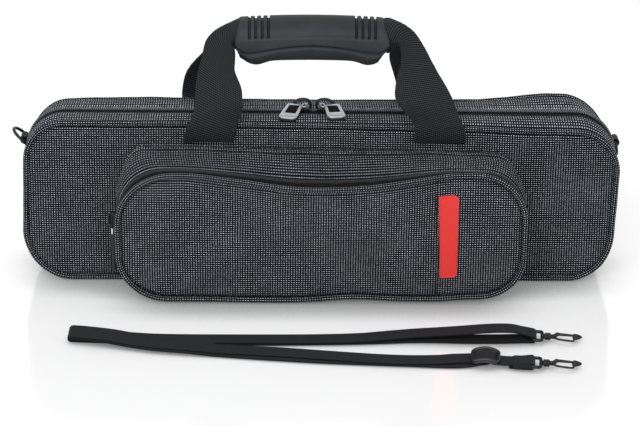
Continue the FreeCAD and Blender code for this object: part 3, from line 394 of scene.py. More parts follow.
def woven(name, ground, fleck, pitch, fleck_half, roughness, relief):
    """Cloth with a grid of separate flecks on a dark ground."""
    finish, tree = new_finish(name)
    cloth = add(tree, "ShaderNodeUVMap", {"uv_map": UV_NAME})
    wander = add(tree, "ShaderNodeTexNoise", None, {"Vector": cloth, "Scale": 0.03, "Detail": 1.0})
    moved = add(tree, "ShaderNodeVectorMath", {"operation": "ADD"}, {0: cloth, 1: wander.outputs["Color"]})
    cells = add(tree, "ShaderNodeVectorMath", {"operation": "MULTIPLY"},
                {0: moved, 1: (1 / pitch[0], 1 / pitch[1], 1.0)})
    inside = add(tree, "ShaderNodeVectorMath", {"operation": "FRACTION"}, {0: cells})
    index = add(tree, "ShaderNodeVectorMath", {"operation": "FLOOR"}, {0: cells})
    centred = add(tree, "ShaderNodeVectorMath", {"operation": "SUBTRACT"}, {0: inside, 1: (0.5, 0.5, 0.0)})
    round_off = add(tree, "ShaderNodeVectorMath", {"operation": "MULTIPLY"},
                    {0: centred, 1: (1 / fleck_half[0], 1 / fleck_half[1], 0.0)})
    away = add(tree, "ShaderNodeVectorMath", {"operation": "LENGTH"}, {0: round_off})
    dot = add(tree, "ShaderNodeMapRange", {"interpolation_type": "SMOOTHSTEP"},
              {"Value": away.outputs["Value"], "From Min": 0.7, "From Max": 1.3,
               "To Min": 1.0, "To Max": 0.0})
    dice = add(tree, "ShaderNodeTexWhiteNoise", {"noise_dimensions": "2D"}, {"Vector": index})
    luck = add(tree, "ShaderNodeMapRange", None, {"Value": dice, "To Min": 0.5})
    spot = add(tree, "ShaderNodeMath", {"operation": "MULTIPLY"}, {0: dot, 1: luck})
    clouds = add(tree, "ShaderNodeTexNoise", None, {"Vector": cloth, "Scale": 0.035, "Detail": 3.0})
    cloudy = add(tree, "ShaderNodeMapRange", None,
                 {"Value": clouds, "From Min": 0.3, "From Max": 0.7, "To Min": 0.85, "To Max": 1.15})
    surface = add(tree, "ShaderNodeMix", {"data_type": "RGBA"},
                  {"Factor": spot, "A": colour(ground), "B": colour(fleck)})
    shade = add(tree, "ShaderNodeVectorMath", {"operation": "SCALE"},
                {0: surface.outputs["Result"], "Scale": cloudy})
    bump = add(tree, "ShaderNodeBump", None, {"Height": spot, "Strength": 0.5, "Distance": relief * MM})
    close_finish(tree, {"Base Color": shade, "Roughness": roughness, "Normal": bump,
                        "Specular IOR Level": 0.06, "Sheen Weight": 0.03, "Sheen Roughness": 0.5})
    return finish


tweed = woven("tweed_polyester", "#121418", "#eaf1fa", FLECK_PITCH, FLECK_HALF, 0.85, 0.2)
tweed_across = woven("tweed_cut_across", "#121418", "#eaf1fa", ACROSS_PITCH, ACROSS_HALF, 0.85, 0.2)
plain_weave = woven("plain_black_strip", "#0f0f11", "#242629", (0.9, 0.9), (0.3, 0.3), 0.8, 0.12)
tape_twill = woven("zipper_tape_polyester", "#141416", "#26282a", (0.8, 1.1), (0.3, 0.3), 0.75, 0.12)
print("cloth finishes:", tweed.name, plain_weave.name, tape_twill.name)

# %% [markdown]
# Webbing is woven from thick polypropylene yarn. On its face each yarn surfaces as a short slanted
# grain, and the grains of one column start a little later than those of the next, so they line up
# in diagonals. A grain is 1.7 mm along the handle's tape and 1.5 mm along the strap's, and each column
# is about 1.5 mm wide. The yarn is one dark colour: the paler grain tops are a painted highlight and
# the nearly black gaps between grains are painted shade.

# %% Webbing of slanted grains
def grained(name, ground, crown_highlight, pitch, column, stagger):
    """Webbing as grains of yarn: pitch along it, column width across it, stagger between columns."""
    finish, tree = new_finish(name)
    cloth = add(tree, "ShaderNodeUVMap", {"uv_map": UV_NAME})
    parts = add(tree, "ShaderNodeSeparateXYZ", None, {0: cloth})
    columns = add(tree, "ShaderNodeMath", {"operation": "MULTIPLY"}, {0: parts.outputs["Y"], 1: 1 / column})
    number = add(tree, "ShaderNodeMath", {"operation": "FLOOR"}, {0: columns})
    inside = add(tree, "ShaderNodeMath", {"operation": "FRACT"}, {0: columns})
    slant = add(tree, "ShaderNodeMath", {"operation": "MULTIPLY"}, {0: inside, 1: 0.35})
    late = add(tree, "ShaderNodeMath", {"operation": "MULTIPLY_ADD"}, {0: number, 1: stagger, 2: slant})
    along = add(tree, "ShaderNodeMath", {"operation": "MULTIPLY_ADD"},
                {0: parts.outputs["X"], 1: 1 / pitch, 2: late})
    turn = add(tree, "ShaderNodeMath", {"operation": "MULTIPLY"}, {0: along, 1: 2 * math.pi})
    wave = add(tree, "ShaderNodeMath", {"operation": "SINE"}, {0: turn})
    wave = add(tree, "ShaderNodeMapRange", None, {"Value": wave, "From Min": -0.6, "From Max": 0.9})
    across = add(tree, "ShaderNodeMath", {"operation": "MULTIPLY"}, {0: inside, 1: math.pi})
    across = add(tree, "ShaderNodeMath", {"operation": "SINE"}, {0: across})
    across = add(tree, "ShaderNodeMapRange", None, {"Value": across, "From Min": 0.1, "From Max": 0.75})
    grain = add(tree, "ShaderNodeMath", {"operation": "MULTIPLY"}, {0: wave, 1: across})
    fuzz = add(tree, "ShaderNodeTexNoise", None, {"Vector": cloth, "Scale": 1.1, "Detail": 3.0})
    worn = add(tree, "ShaderNodeMapRange", None,
               {"Value": fuzz, "From Min": 0.3, "From Max": 0.7, "To Min": 0.65, "To Max": 1.1})
    tone = add(tree, "ShaderNodeMath", {"operation": "MULTIPLY"}, {0: grain, 1: worn})
    # Paler grain tops are a painted highlight and the dark gaps painted shade; the yarn itself is one
    # colour.
    mixed = add(tree, "ShaderNodeMix", {"data_type": "RGBA"},
                {"Factor": tone, "A": colour(ground), "B": colour(crown_highlight)})
    bump = add(tree, "ShaderNodeBump", None, {"Height": grain, "Strength": 0.8, "Distance": 0.3 * MM})
    close_finish(tree, {"Base Color": mixed.outputs["Result"], "Roughness": 0.62, "Normal": bump,
                        "Specular IOR Level": 0.15, "Sheen Weight": 0.03})
    return finish


# The paler colour is a painted highlight on the grain tops; the gaps get the darker one as painted shade.
handle_webbing = grained("handle_webbing", "#0c0d0f", "#414448", 1.7, 1.5, 0.3)
strap_webbing = grained("strap_webbing_polypropylene", "#0e0f11", "#36383b", 1.5, 1.4, 0.5)
print("webbing:", handle_webbing.name, strap_webbing.name)

# %% [markdown]
# The inside is lined with short plush. Plush is dark when seen straight on and pale where the pile
# tips catch light at a slant, which is what sheen does. The zipper's coils are nylon, with a soft
# gleam, and the sewing thread is waxed polyester.

# %% Lining, nylon, thread
def plain_fibre(name, dark, light, grain, roughness, relief, sheen):
    """Fibre too fine to draw one by one: cloudy colour and a grain that is bumped."""
    finish, tree = new_finish(name)
    place = add(tree, "ShaderNodeTexCoord").outputs["Object"]
    fine = add(tree, "ShaderNodeTexNoise", None,
               {"Vector": place, "Scale": 1 / (grain * MM), "Detail": 3.0})
    broad = add(tree, "ShaderNodeTexNoise", None,
                {"Vector": place, "Scale": 1 / (18 * grain * MM), "Detail": 2.0})
    both = add(tree, "ShaderNodeMath", {"operation": "MULTIPLY_ADD"}, {0: broad, 1: 0.6, 2: fine})
    tone = add(tree, "ShaderNodeMapRange", None, {"Value": both, "From Min": 0.45, "From Max": 1.15})
    mixed = add(tree, "ShaderNodeMix", {"data_type": "RGBA"},
                {"Factor": tone, "A": colour(dark), "B": colour(light)})
    bump = add(tree, "ShaderNodeBump", None, {"Height": fine, "Strength": 0.5, "Distance": relief * MM})
    close_finish(tree, {"Base Color": mixed.outputs["Result"], "Roughness": roughness, "Normal": bump,
                        "Specular IOR Level": 0.3, "Sheen Weight": sheen, "Sheen Roughness": 0.4})
    return finish


plush = plain_fibre("black_plush_lining", "#0e0e10", "#2b2c30", 0.9, 0.95, 0.5, 0.8)
thread = plain_fibre("waxed_black_thread", "#101012", "#303235", 0.3, 0.6, 0.04, 0.1)
COIL_PITCH = 1.55


def coiled_nylon(name, groove, crown_highlight):
    """Zipper coil: each turn's crown carries a painted highlight and the gap before the next painted shade.
    """
    finish, tree = new_finish(name)
    cloth = add(tree, "ShaderNodeUVMap", {"uv_map": UV_NAME})
    parts = add(tree, "ShaderNodeSeparateXYZ", None, {0: cloth})
    turn = add(tree, "ShaderNodeMath", {"operation": "MULTIPLY"},
               {0: parts.outputs["X"], 1: 2 * math.pi / COIL_PITCH})
    # This mask paints a highlight along each turn's crown and shade in the gap between turns.
    ridge = add(tree, "ShaderNodeMath", {"operation": "COSINE"}, {0: turn})
    ridge = add(tree, "ShaderNodeMapRange", {"interpolation_type": "SMOOTHSTEP"},
                {"Value": ridge, "From Min": -0.5, "From Max": 0.8})
    worn = add(tree, "ShaderNodeTexNoise", None, {"Vector": cloth, "Scale": 0.3, "Detail": 2.0})
    worn = add(tree, "ShaderNodeMapRange", None, {"Value": worn, "To Min": 0.6, "To Max": 1.2})
    tone = add(tree, "ShaderNodeMath", {"operation": "MULTIPLY"}, {0: ridge, 1: worn})
    mixed = add(tree, "ShaderNodeMix", {"data_type": "RGBA"},
                {"Factor": tone, "A": colour(groove), "B": colour(crown_highlight)})
    close_finish(tree, {"Base Color": mixed.outputs["Result"], "Roughness": 0.4, "Specular IOR Level": 0.3})
    return finish


# For each coil the dark colour is painted shade in the gaps and the pale one a painted highlight on the
# crowns.
coil_nylon = coiled_nylon("zipper_coil_nylon", "#060708", "#7c8085")
fine_coil_nylon = coiled_nylon("pocket_coil_nylon", "#070809", "#3e4144")
print("fibres:", plush.name, thread.name, coil_nylon.name)

# %% [markdown]
# Moulded parts carry a spark-eroded grain from their mould, a fraction of a millimetre across. The
# grip is a soft thermoplastic rubber with a broad, dull gleam, and so is the pocket's pull. The tag
# is a cast PVC patch in plain red, the strap's slide is acetal, and the windows of the big pulls are
# filled with dull lacquer. Colour wanders a little and the gloss is broken by handling.

# %% Moulded rubber, PVC and acetal
def moulded(name, base, worn, grain, roughness, relief, specular=0.5):
    """A moulded part: even colour, fine mould grain, gloss broken up by handling."""
    finish, tree = new_finish(name)
    place = add(tree, "ShaderNodeTexCoord").outputs["Object"]
    pits = add(tree, "ShaderNodeTexNoise", None,
               {"Vector": place, "Scale": 1 / (grain * MM), "Detail": 2.0})
    hands = add(tree, "ShaderNodeTexNoise", None,
                {"Vector": place, "Scale": 1 / (28 * MM), "Detail": 4.0})
    tone = add(tree, "ShaderNodeMapRange", None, {"Value": hands, "From Min": 0.35, "From Max": 0.75})
    mixed = add(tree, "ShaderNodeMix", {"data_type": "RGBA"},
                {"Factor": tone, "A": colour(base), "B": colour(worn)})
    gloss = add(tree, "ShaderNodeMapRange", None,
                {"Value": hands, "From Min": 0.3, "From Max": 0.7,
                 "To Min": roughness - 0.06, "To Max": roughness + 0.06})
    bump = add(tree, "ShaderNodeBump", None, {"Height": pits, "Strength": 0.35, "Distance": relief * MM})
    close_finish(tree, {"Base Color": mixed.outputs["Result"], "Roughness": gloss, "Normal": bump,
                        "IOR": 1.5, "Specular IOR Level": specular})
    return finish


grip_rubber = moulded("grip_thermoplastic_rubber", "#333638", "#404346", 0.35, 0.46, 0.05, 0.10)
red_pvc = moulded("red_cast_pvc", "#e83e3a", "#ec4440", 0.5, 0.6, 0.04, 0.15)
black_acetal = moulded("black_acetal", "#141516", "#1c1d1f", 0.4, 0.38, 0.03)
black_window = moulded("black_window_lacquer", "#060708", "#0b0c0d", 0.4, 0.6, 0.02, 0.04)
print("moulded:", grip_rubber.name, red_pvc.name, black_acetal.name)

# %% [markdown]
# The sliders, rings and hooks are zinc castings under black enamel, which rubs through to bare
# metal on the corners that touch things. The two big pulls are plated and satin-tumbled, so they
# are grey with a soft, wide highlight.

# %% Enamelled and satin metal
def enamelled(name, paint, bare):
    """Black enamel over cast zinc, worn on convex edges."""
    finish, tree = new_finish(name)
    place = add(tree, "ShaderNodeTexCoord").outputs["Object"]
    edges = add(tree, "ShaderNodeNewGeometry")
    scuff = add(tree, "ShaderNodeTexNoise", None,
                {"Vector": place, "Scale": 1 / (1.5 * MM), "Detail": 4.0})
    ridge = add(tree, "ShaderNodeMath", {"operation": "MULTIPLY_ADD"},
                {0: scuff, 1: 0.12, 2: edges.outputs["Pointiness"]})
    rubbed = add(tree, "ShaderNodeMapRange", None, {"Value": ridge, "From Min": 0.64, "From Max": 0.72})
    mixed = add(tree, "ShaderNodeMix", {"data_type": "RGBA"},
                {"Factor": rubbed, "A": colour(paint), "B": colour(bare)})
    bump = add(tree, "ShaderNodeBump", None, {"Height": scuff, "Strength": 0.15, "Distance": 0.05 * MM})
    close_finish(tree, {"Base Color": mixed.outputs["Result"], "Metallic": rubbed, "Roughness": 0.4,
                        "Normal": bump, "Specular IOR Level": 0.25, "Coat Weight": 0.08,
                        "Coat Roughness": 0.2})
    return finish


def satin(name, light, dark):
    """Tumbled and plated zinc: a fine even scratch that spreads the highlight."""
    finish, tree = new_finish(name)
    place = add(tree, "ShaderNodeTexCoord").outputs["Object"]
    stretched = add(tree, "ShaderNodeVectorMath", {"operation": "MULTIPLY"},
                    {0: place, 1: (4.0, 1.0, 1.0)})
    scratch = add(tree, "ShaderNodeTexNoise", None,
                  {"Vector": stretched, "Scale": 1 / (1.2 * MM), "Detail": 5.0})
    mixed = add(tree, "ShaderNodeMix", {"data_type": "RGBA"},
                {"Factor": scratch, "A": colour(dark), "B": colour(light)})
    gloss = add(tree, "ShaderNodeMapRange", None, {"Value": scratch, "To Min": 0.3, "To Max": 0.5})
    bump = add(tree, "ShaderNodeBump", None, {"Height": scratch, "Strength": 0.2, "Distance": 0.04 * MM})
    close_finish(tree, {"Base Color": mixed.outputs["Result"], "Metallic": 1.0, "Roughness": gloss,
                        "Normal": bump})
    return finish


black_enamel = enamelled("black_enamel_on_zinc", "#17181a", "#8c8b88")
satin_zinc = satin("satin_plated_zinc", "#d2d6da", "#a4a9ad")
print("metals:", black_enamel.name, satin_zinc.name)
# %% [markdown]
# ## The two halves
# The outline of the case is a long rectangle with soft corners. The lower corners have slumped
# into larger curves and the right-hand side leans in a little towards the floor. It is measured
# once as points with their outward directions, so that each seam, cord and lip can be a run along
# it at its own depth.

# %% Case outline
HALF_LENGTH = 222.5
CASE_HEIGHT = 125.0
CASE_CORNERS = {"low_left": (37, 40), "top_left": (29, 29),
                "top_right": (33, 35), "low_right": (35, 36)}
SIDE_LEAN = 2.2                 # how far the right-hand side leans in at the floor
TOP_LEAN = 2.1                  # and the left-hand side at the top


def outline_of(half_length, low, top, corners, lean=0.0, top_lean=0.0, step=0.25):
    """A closed run from the middle of the underside round by the left, with its outward normals."""
    turns = [("low_left", -1, low, 1, -90), ("top_left", -1, top, -1, 180),
             ("top_right", 1, top, -1, 90), ("low_right", 1, low, 1, 0)]
    run = [(0.0, low)]
    for name, side, edge, inward, start in turns:
        rx, rz = corners[name]
        for k in range(61):
            a = math.radians(start - 90 * k / 60)
            across = side * (half_length - rx) + rx * math.cos(a)
            run.append((across, edge + inward * rz + rz * math.sin(a)))
    run.append((0.0, low))
    run = np.array(run)
    end_part = (0.6 * half_length, half_length)
    run[:, 0] -= lean * (1 - ease(run[:, 1], low + 25, low + 65)) * ease(run[:, 0], *end_part)
    run[:, 0] += top_lean * ease(run[:, 1], low + 50, low + 110) * ease(-run[:, 0], *end_part)
    arc = arc_along(run)
    even = np.arange(0, arc[-1], step)
    points = read_at(run, arc, even)
    tangent = np.roll(points, -4, 0) - np.roll(points, 4, 0)
    tangent /= np.linalg.norm(tangent, axis=1)[:, None]
    normals = np.stack([-tangent[:, 1], tangent[:, 0]], -1)
    return {"points": points, "normals": normals, "arc": even, "length": arc[-1]}


def places(outline, arc):
    """Points and outward normals at some arc lengths."""
    s = np.mod(arc, outline["length"])
    around = np.append(outline["arc"], outline["length"])
    both = np.concatenate([outline["points"], outline["normals"]], 1)
    found = read_at(np.concatenate([both, both[:1]], 0), around, s)
    return found[:, :2], found[:, 2:]


case = outline_of(HALF_LENGTH, 0.0, CASE_HEIGHT, CASE_CORNERS, SIDE_LEAN, TOP_LEAN)
print("once round the case:", round(case["length"]), "mm")

# %% [markdown]
# Foam sides don't stay straight. The top of the front half rises on the left and drops on the
# right, and the back half does the reverse, so the two lean on each other along the zipper. Every
# piece of a half goes through the same settling function, so seams stay together.

# %% How the case has settled
# How far each top is off its level, in two rows: places along the case and rises there.
FRONT_TOP = ([-222, -192, -119, -53, 0, 50, 117, 165, 222],
             [0.8, 1.3, 1.3, 0.8, 0.2, -0.7, -2.2, -3.9, -4.5])
BACK_TOP = ([-222, -208, -190, -168, -130, -38, 0, 45, 100, 121, 141, 153, 171, 187, 201, 213, 222],
            [-5, -4.4, -3.6, -2.7, -2.2, -3.5, -3.7, -3.5, -3.1, -2.6, -1, 0.4, 2.4, 2, -1, -4.5, -5.5])
BACK_INSET = 1.4                # how far the top corners of the back half lean in


def settle(points):
    """Move points of the case by the sag and swell of its top."""
    points = np.array(points, float)
    x, y, z = points[..., 0], points[..., 1], points[..., 2]
    front = np.interp(x, *FRONT_TOP)
    rear = np.interp(x, *BACK_TOP)
    share = np.clip(np.abs(y) / 33.0, 0, 1.1)
    lift = np.where(y < 0, front, rear) * share * ease(z, 55, 124)
    points[..., 2] = z + lift
    lean_in = BACK_INSET * ease(y, 2, 20) * ease(z, 70, 100) * ease(np.abs(x), 175, 215)
    points[..., 0] = x - np.sign(x) * lean_in
    return points


def sweep(arcs, profile, side):
    """Carry a profile of (depth, distance from the parting plane) along the case's outline."""
    run, out = places(case, arcs)
    profile = np.asarray(profile, float)
    flat = run[:, None] - out[:, None] * profile[None, :, :1]
    y = np.broadcast_to(side * profile[None, :, 1], flat.shape[:2])
    return settle(np.stack([flat[..., 0], y, flat[..., 1]], -1))


ROUND_STEP = 3.0                # between the stations round the case
ring_arcs = np.linspace(0, case["length"], int(case["length"] / ROUND_STEP), endpoint=False)
print("the top settles by", min(FRONT_TOP[1]), "to", max(BACK_TOP[1]), "mm")

# %% [markdown]
# The gusset is the band of cloth that goes all the way round each half. Near the piping it dips
# into the seam, it swells over the foam, and at the zipper it is folded under and stitched, which
# leaves a rounded lip. Its section is drawn once and swept round the outline. Gusset cloth is cut
# across the roll, where the flecks are longer and stand further apart.

# %% Gussets
GUSSET_PROFILE = [(2.6, 31.4), (1.7, 30.4), (1, 28.6), (0.45, 25), (0.15, 20), (0.2, 15),
                  (0.5, 11.4), (0.85, 9.5), (1.15, 8.9), (0.9, 8.2), (0.75, 7.4), (0.95, 6.7),
                  (1.5, 6.3), (2.1, 6.5), (2.5, 7.3), (2.6, 9.4)]
CLOTH = 1.1                     # thickness of the tweed with its backing
halves = {"front": -1, "back": 1}

for word, side in halves.items():
    profile = curve_through(GUSSET_PROFILE, 44)
    outer = sweep(ring_arcs, profile, side)
    along = np.arange(len(ring_arcs))[:, None] * ROUND_STEP
    ripple = 0.3 * drift(along, profile[None, :, 1] * 2, 60, 11 + side)
    swell = np.exp(-((profile[None, :, 1] - 18) / 9) ** 2)
    _, out = places(case, ring_arcs)
    outer[..., 0] += out[:, None, 0] * ripple * swell
    outer[..., 2] += out[:, None, 1] * ripple * swell
    outer[..., 2] = np.maximum(outer[..., 2], 0.05)
    inner = sweep(ring_arcs, profile + [CLOTH, 0], side)
    gusset = skin(word + "_gusset_cloth", outer, wrap_u=True, reverse=inner)
    dress(gusset, tweed_across, "tweed", word + "_half", word + "_gusset")

# %% [markdown]
# The panel is the flat face. A sheet made of upright columns follows the rounded outline and keeps
# the weave straight. It dips beside the piping, where the seam pulls it in, and swells over the
# foam. The columns crowd towards the ends, where the outline turns.

# %% Panels
def column_sheet(outline, depth, columns, rows, extra=()):
    """Grid points (x, z) that fill an outline, set in by a depth, in upright columns."""
    edge = outline["points"] - outline["normals"] * depth
    left, right = edge[:, 0].min() + 0.02, edge[:, 0].max() - 0.02
    t = np.linspace(0, math.pi, columns)
    x = (left + right) / 2 - (right - left) / 2 * np.cos(t) * (1 - 0.12 * np.sin(t) ** 2)
    x = np.unique(np.concatenate([x, np.asarray(extra, float)]))
    middle = (edge[:, 1].min() + edge[:, 1].max()) / 2
    ends = []
    for part in (edge[edge[:, 1] <= middle], edge[edge[:, 1] > middle]):
        part = part[np.argsort(part[:, 0])]
        ends.append(np.interp(x, part[:, 0], part[:, 1]))
    bottom, top = ends
    share = (1 - np.cos(np.linspace(0, math.pi, rows))) / 2
    z = bottom[:, None] + (top - bottom)[:, None] * share[None]
    return np.stack([np.broadcast_to(x[:, None], z.shape), z], -1), edge


def edge_distance(flat, edge):
    """How far each grid point is from the edge."""
    spread = flat.reshape(-1, 2)
    best = np.full(len(spread), 1e9)
    for part in np.array_split(edge[::4], 12):
        gap = np.linalg.norm(spread[:, None] - part[None], axis=2).min(1)
        best = np.minimum(best, gap)
    return best.reshape(flat.shape[:2])


PANEL_DEPTH = 3.6               # from the outline to the panel's edge, inside the piping
PANEL_Y = 33.9                  # from the parting plane to the panel's edge
flat, edge = column_sheet(case, PANEL_DEPTH, 190, 46)
from_edge = edge_distance(flat, edge)
for word, side in halves.items():
    x, z = flat[..., 0], flat[..., 1]
    dip = 1.9 * np.exp(-((from_edge / 1.7) ** 2))
    crown_highlight = 1.0 * (1 - np.exp(-from_edge / 14)) + 0.45 * drift(x, z, 95, 21 + side) * ease(from_edge, 3, 20)
    y = side * (PANEL_Y - dip + crown_highlight)
    outer = settle(np.stack([x, y, z], -1))
    inner = outer - [0, side * CLOTH, 0]
    panel = skin(word + "_panel_cloth", outer, reverse=inner, uv=np.stack([x, z], -1))
    dress(panel, tweed, "tweed", word + "_half", word + "_panel")

# %% [markdown]
# Piping is a cord wrapped in a strip of the same cloth. It rounds the seam between panel and
# gusset and takes the knocks. At the zipper a row of stitches holds the folded lip of the gusset.

# %% Piping and stitches
PIPING_Y = 33.0
PIPING_RADIUS = 2.0


def cord_path(arcs, depth, y):
    """A line along the case's outline, at a depth and a distance from the parting plane."""
    return sweep(arcs, [(depth, y)], 1)[:, 0]


for word, side in halves.items():
    path = cord_path(ring_arcs, PIPING_RADIUS, side * PIPING_Y)
    swell = PIPING_RADIUS + 0.08 * np.sin(ring_arcs / 9.0) + 0.06 * np.sin(ring_arcs / 4.1 + side)
    piping = tube(word + "_piping_cord", path, swell, sides=14, closed=True)
    dress(piping, tweed, "tweed", word + "_half", word + "_piping")


def stitches(name, path, body, length=2.4, gap=0.9, width=0.32, up=(0, 1, 0)):
    """A row of thread along a path: one small dash per stitch, a little tilted."""
    path = np.asarray(path, float)
    arc = arc_along(path)
    thick = width * np.array([0.35, 0.85, 1.0, 0.85, 0.35])
    angle = np.linspace(0, 2 * math.pi, 6, endpoint=False)
    points, faces, uvs = [], [], []
    for start in np.arange(gap, arc[-1] - length, length + gap):
        line = read_at(path, arc, start + length * np.array([0.0, 0.12, 0.5, 0.88, 1.0]))
        tangent = line[-1] - line[0]
        tangent /= np.linalg.norm(tangent)
        side = np.cross(tangent, np.asarray(up, float))
        side /= np.linalg.norm(side)
        lift = np.cross(side, tangent)
        ring = np.cos(angle)[None, :, None] * side + np.sin(angle)[None, :, None] * lift
        base = len(points)
        points += (line[:, None] + thick[:, None, None] * ring).reshape(-1, 3).tolist()
        for i in range(4):
            for j in range(6):
                a, b = base + i * 6 + j, base + i * 6 + (j + 1) % 6
                faces.append([a, b, b + 6, a + 6])
                uvs.append([(0, 0), (1, 0), (1, 1), (0, 1)])
        for row in (0, 4):
            faces.append([base + row * 6 + k for k in range(6)])
            uvs.append([(0, 0)] * 6)
    row = make_mesh(name, points, faces, uvs, 80)
    dress(row, thread, "zip_cloth", body)


for word, side in halves.items():
    arcs = np.append(ring_arcs, case["length"])
    lip = sweep(arcs, [(0.95, 8.9)], side)[:, 0]
    lip[:, 2] = np.maximum(lip[:, 2], 0.35)
    stitches(word + "_lip_stitches", lip, word + "_half")
# %% [markdown]
# ## The main zipper
# Each half carries a tape that rises from under its lip to the parting plane, with a nylon coil
# along its edge. The coils mesh on that plane, a little above the tapes. A coil turns every
# 1.55 mm; here each turn is a ridge on a cord, with the ridges of the two sides half a turn apart,
# so that they lock like real teeth.

# %% Zipper tapes and coils
ZIP_END = 30.0                  # height at which the zipper starts and stops
TAPE_PROFILE = [(1.3, 1.9), (1.6, 3.2), (2.2, 5), (2.9, 8), (3.1, 13.8)]


def arcs_above(outline, height, step):
    """Arc lengths of the part of an outline that lies above a height, left end first."""
    arc = outline["arc"][outline["points"][:, 1] > height]
    return np.linspace(arc[0], arc[-1], max(2, int((arc[-1] - arc[0]) / step)))


def coil(name, path, radius, pitch, phase):
    """A cord with a slanted ridge for each turn of the coil."""
    arc = arc_along(path)
    samples = np.arange(0, arc[-1], pitch / 5)
    fine = read_at(path, arc, samples)
    tangent = np.gradient(fine, axis=0)
    tangent /= np.linalg.norm(tangent, axis=1)[:, None]
    side = np.cross(tangent, (0.0, 1.0, 0.0))
    side /= np.linalg.norm(side, axis=1)[:, None]
    lift = np.cross(side, tangent)
    angle = np.linspace(0, 2 * math.pi, 8, endpoint=False)
    turn = 2 * math.pi * samples[:, None] / pitch + phase + 0.9 * np.sin(angle)[None]
    size = radius * (0.8 + 0.2 * np.cos(turn))
    uv = np.stack([turn * pitch / (2 * math.pi), np.broadcast_to(radius * angle, turn.shape)], -1)
    ring = np.cos(angle)[None, :, None] * side[:, None] + np.sin(angle)[None, :, None] * lift[:, None]
    uv = np.concatenate([uv, uv[:, :1] + [0, 2 * math.pi * radius]], 1)
    return skin(name, fine[:, None] + size[..., None] * ring, wrap_v=True, caps=True, sharp=70, uv=uv)


zip_arcs = arcs_above(case, ZIP_END, ROUND_STEP)
for word, side in halves.items():
    outer = sweep(zip_arcs, TAPE_PROFILE, side)
    inner = sweep(zip_arcs, np.array(TAPE_PROFILE) + [0.7, 0], side)
    tape = skin(word + "_zip_tape", outer, reverse=inner)
    dress(tape, tape_twill, "zip_cloth", word + "_half", word + "_zipper_tape")
    path = cord_path(zip_arcs, 0.5, side * 1.4)
    teeth = coil(word + "_zip_coil", path, 1.0, COIL_PITCH, math.pi * (side > 0))
    dress(teeth, coil_nylon, "zip_cloth", word + "_half", word + "_zipper_coil")

# %% [markdown]
# Below the zipper's ends a strip of cloth joins the halves under the case: this is the hinge. A
# few dense stitches close each end of the zipper.

# %% Hinge cloth
low = case["points"][:, 1] <= ZIP_END + 1.0
arc = case["arc"][low]
left_end = arc[arc < case["length"] / 2].max()
right_end = arc[arc > case["length"] / 2].min() - case["length"]
hinge_arcs = np.linspace(right_end, left_end, 190)
HINGE_HALF = 7.0
HINGE_SEAM = 5.8                # the two rows of stitching press a groove here
across = np.linspace(-HINGE_HALF, HINGE_HALF, 25)
groove = 0.12 * np.exp(-((np.abs(across) - HINGE_SEAM) / 0.5) ** 2)
profile = np.stack([0.55 + 0.25 * np.abs(across / HINGE_HALF) ** 4 + groove, across], -1)
outer = sweep(hinge_arcs, profile, 1)
inner = sweep(hinge_arcs, profile + [0.9, 0], 1)
outer[..., 2] = np.maximum(outer[..., 2], 0.02)
inner[..., 2] = np.maximum(inner[..., 2], 0.5)
hinge = skin("hinge_cloth", outer, reverse=inner)
dress(hinge, tweed, "tweed", None, "front_hinge_cloth", "back_hinge_cloth")
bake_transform(hinge)
print("hinge cloth", round(hinge_arcs[-1] - hinge_arcs[0]), "mm long")

TACK_PROFILE = [(0.4, 0.3), (0.4, 2.8), (0.4, 5.3)]
for word, side in halves.items():
    bars = []
    for arc_at, onward in ((left_end, 1), (right_end, -1)):
        for k in range(4):
            run = sweep([arc_at - 1.2 * k * onward], TACK_PROFILE, side)[0]
            bars.append(tube("bar", run, 0.35, 6, up=(0, 0, 1)))
    tack = join(word + "_zip_tacks", bars)
    dress(tack, thread, "zip_cloth", word + "_half")

# %% [markdown]
# ## Inside the case
# Each half is a moulded foam tray covered in plush. The cover rolls over the rim of the tray and
# runs down inside it. The section is swept round like the gusset.

# %% Lined trays
TRAY_PROFILE = [(3.3, 31), (3.3, 20), (3.3, 8), (3.6, 6.1), (4.6, 5.2), (6.2, 4.9), (8.4, 4.9),
                (10.3, 5.3), (11.3, 6.6), (11.5, 9), (11.5, 16), (11.5, 25.8)]
for word, side in halves.items():
    profile = curve_through(TRAY_PROFILE, 40)
    outer = sweep(ring_arcs, profile, side)
    under = np.array(profile)
    under[:, 0] = np.clip(under[:, 0], 4.2, 10.4)
    under[:, 1] = np.maximum(under[:, 1], 6.2)
    inner = sweep(ring_arcs, under, side)
    rim = skin(word + "_tray_lining", outer, wrap_u=True, reverse=inner)
    dress(rim, plush, "plush", word + "_half", word + "_shell")

# %% [markdown]
# The lid pad is a slim cushion that presses the flute into its channels. A closed grid makes it:
# the face is crowned, the edge is round, and rows of shallow tufts keep the filling in place.

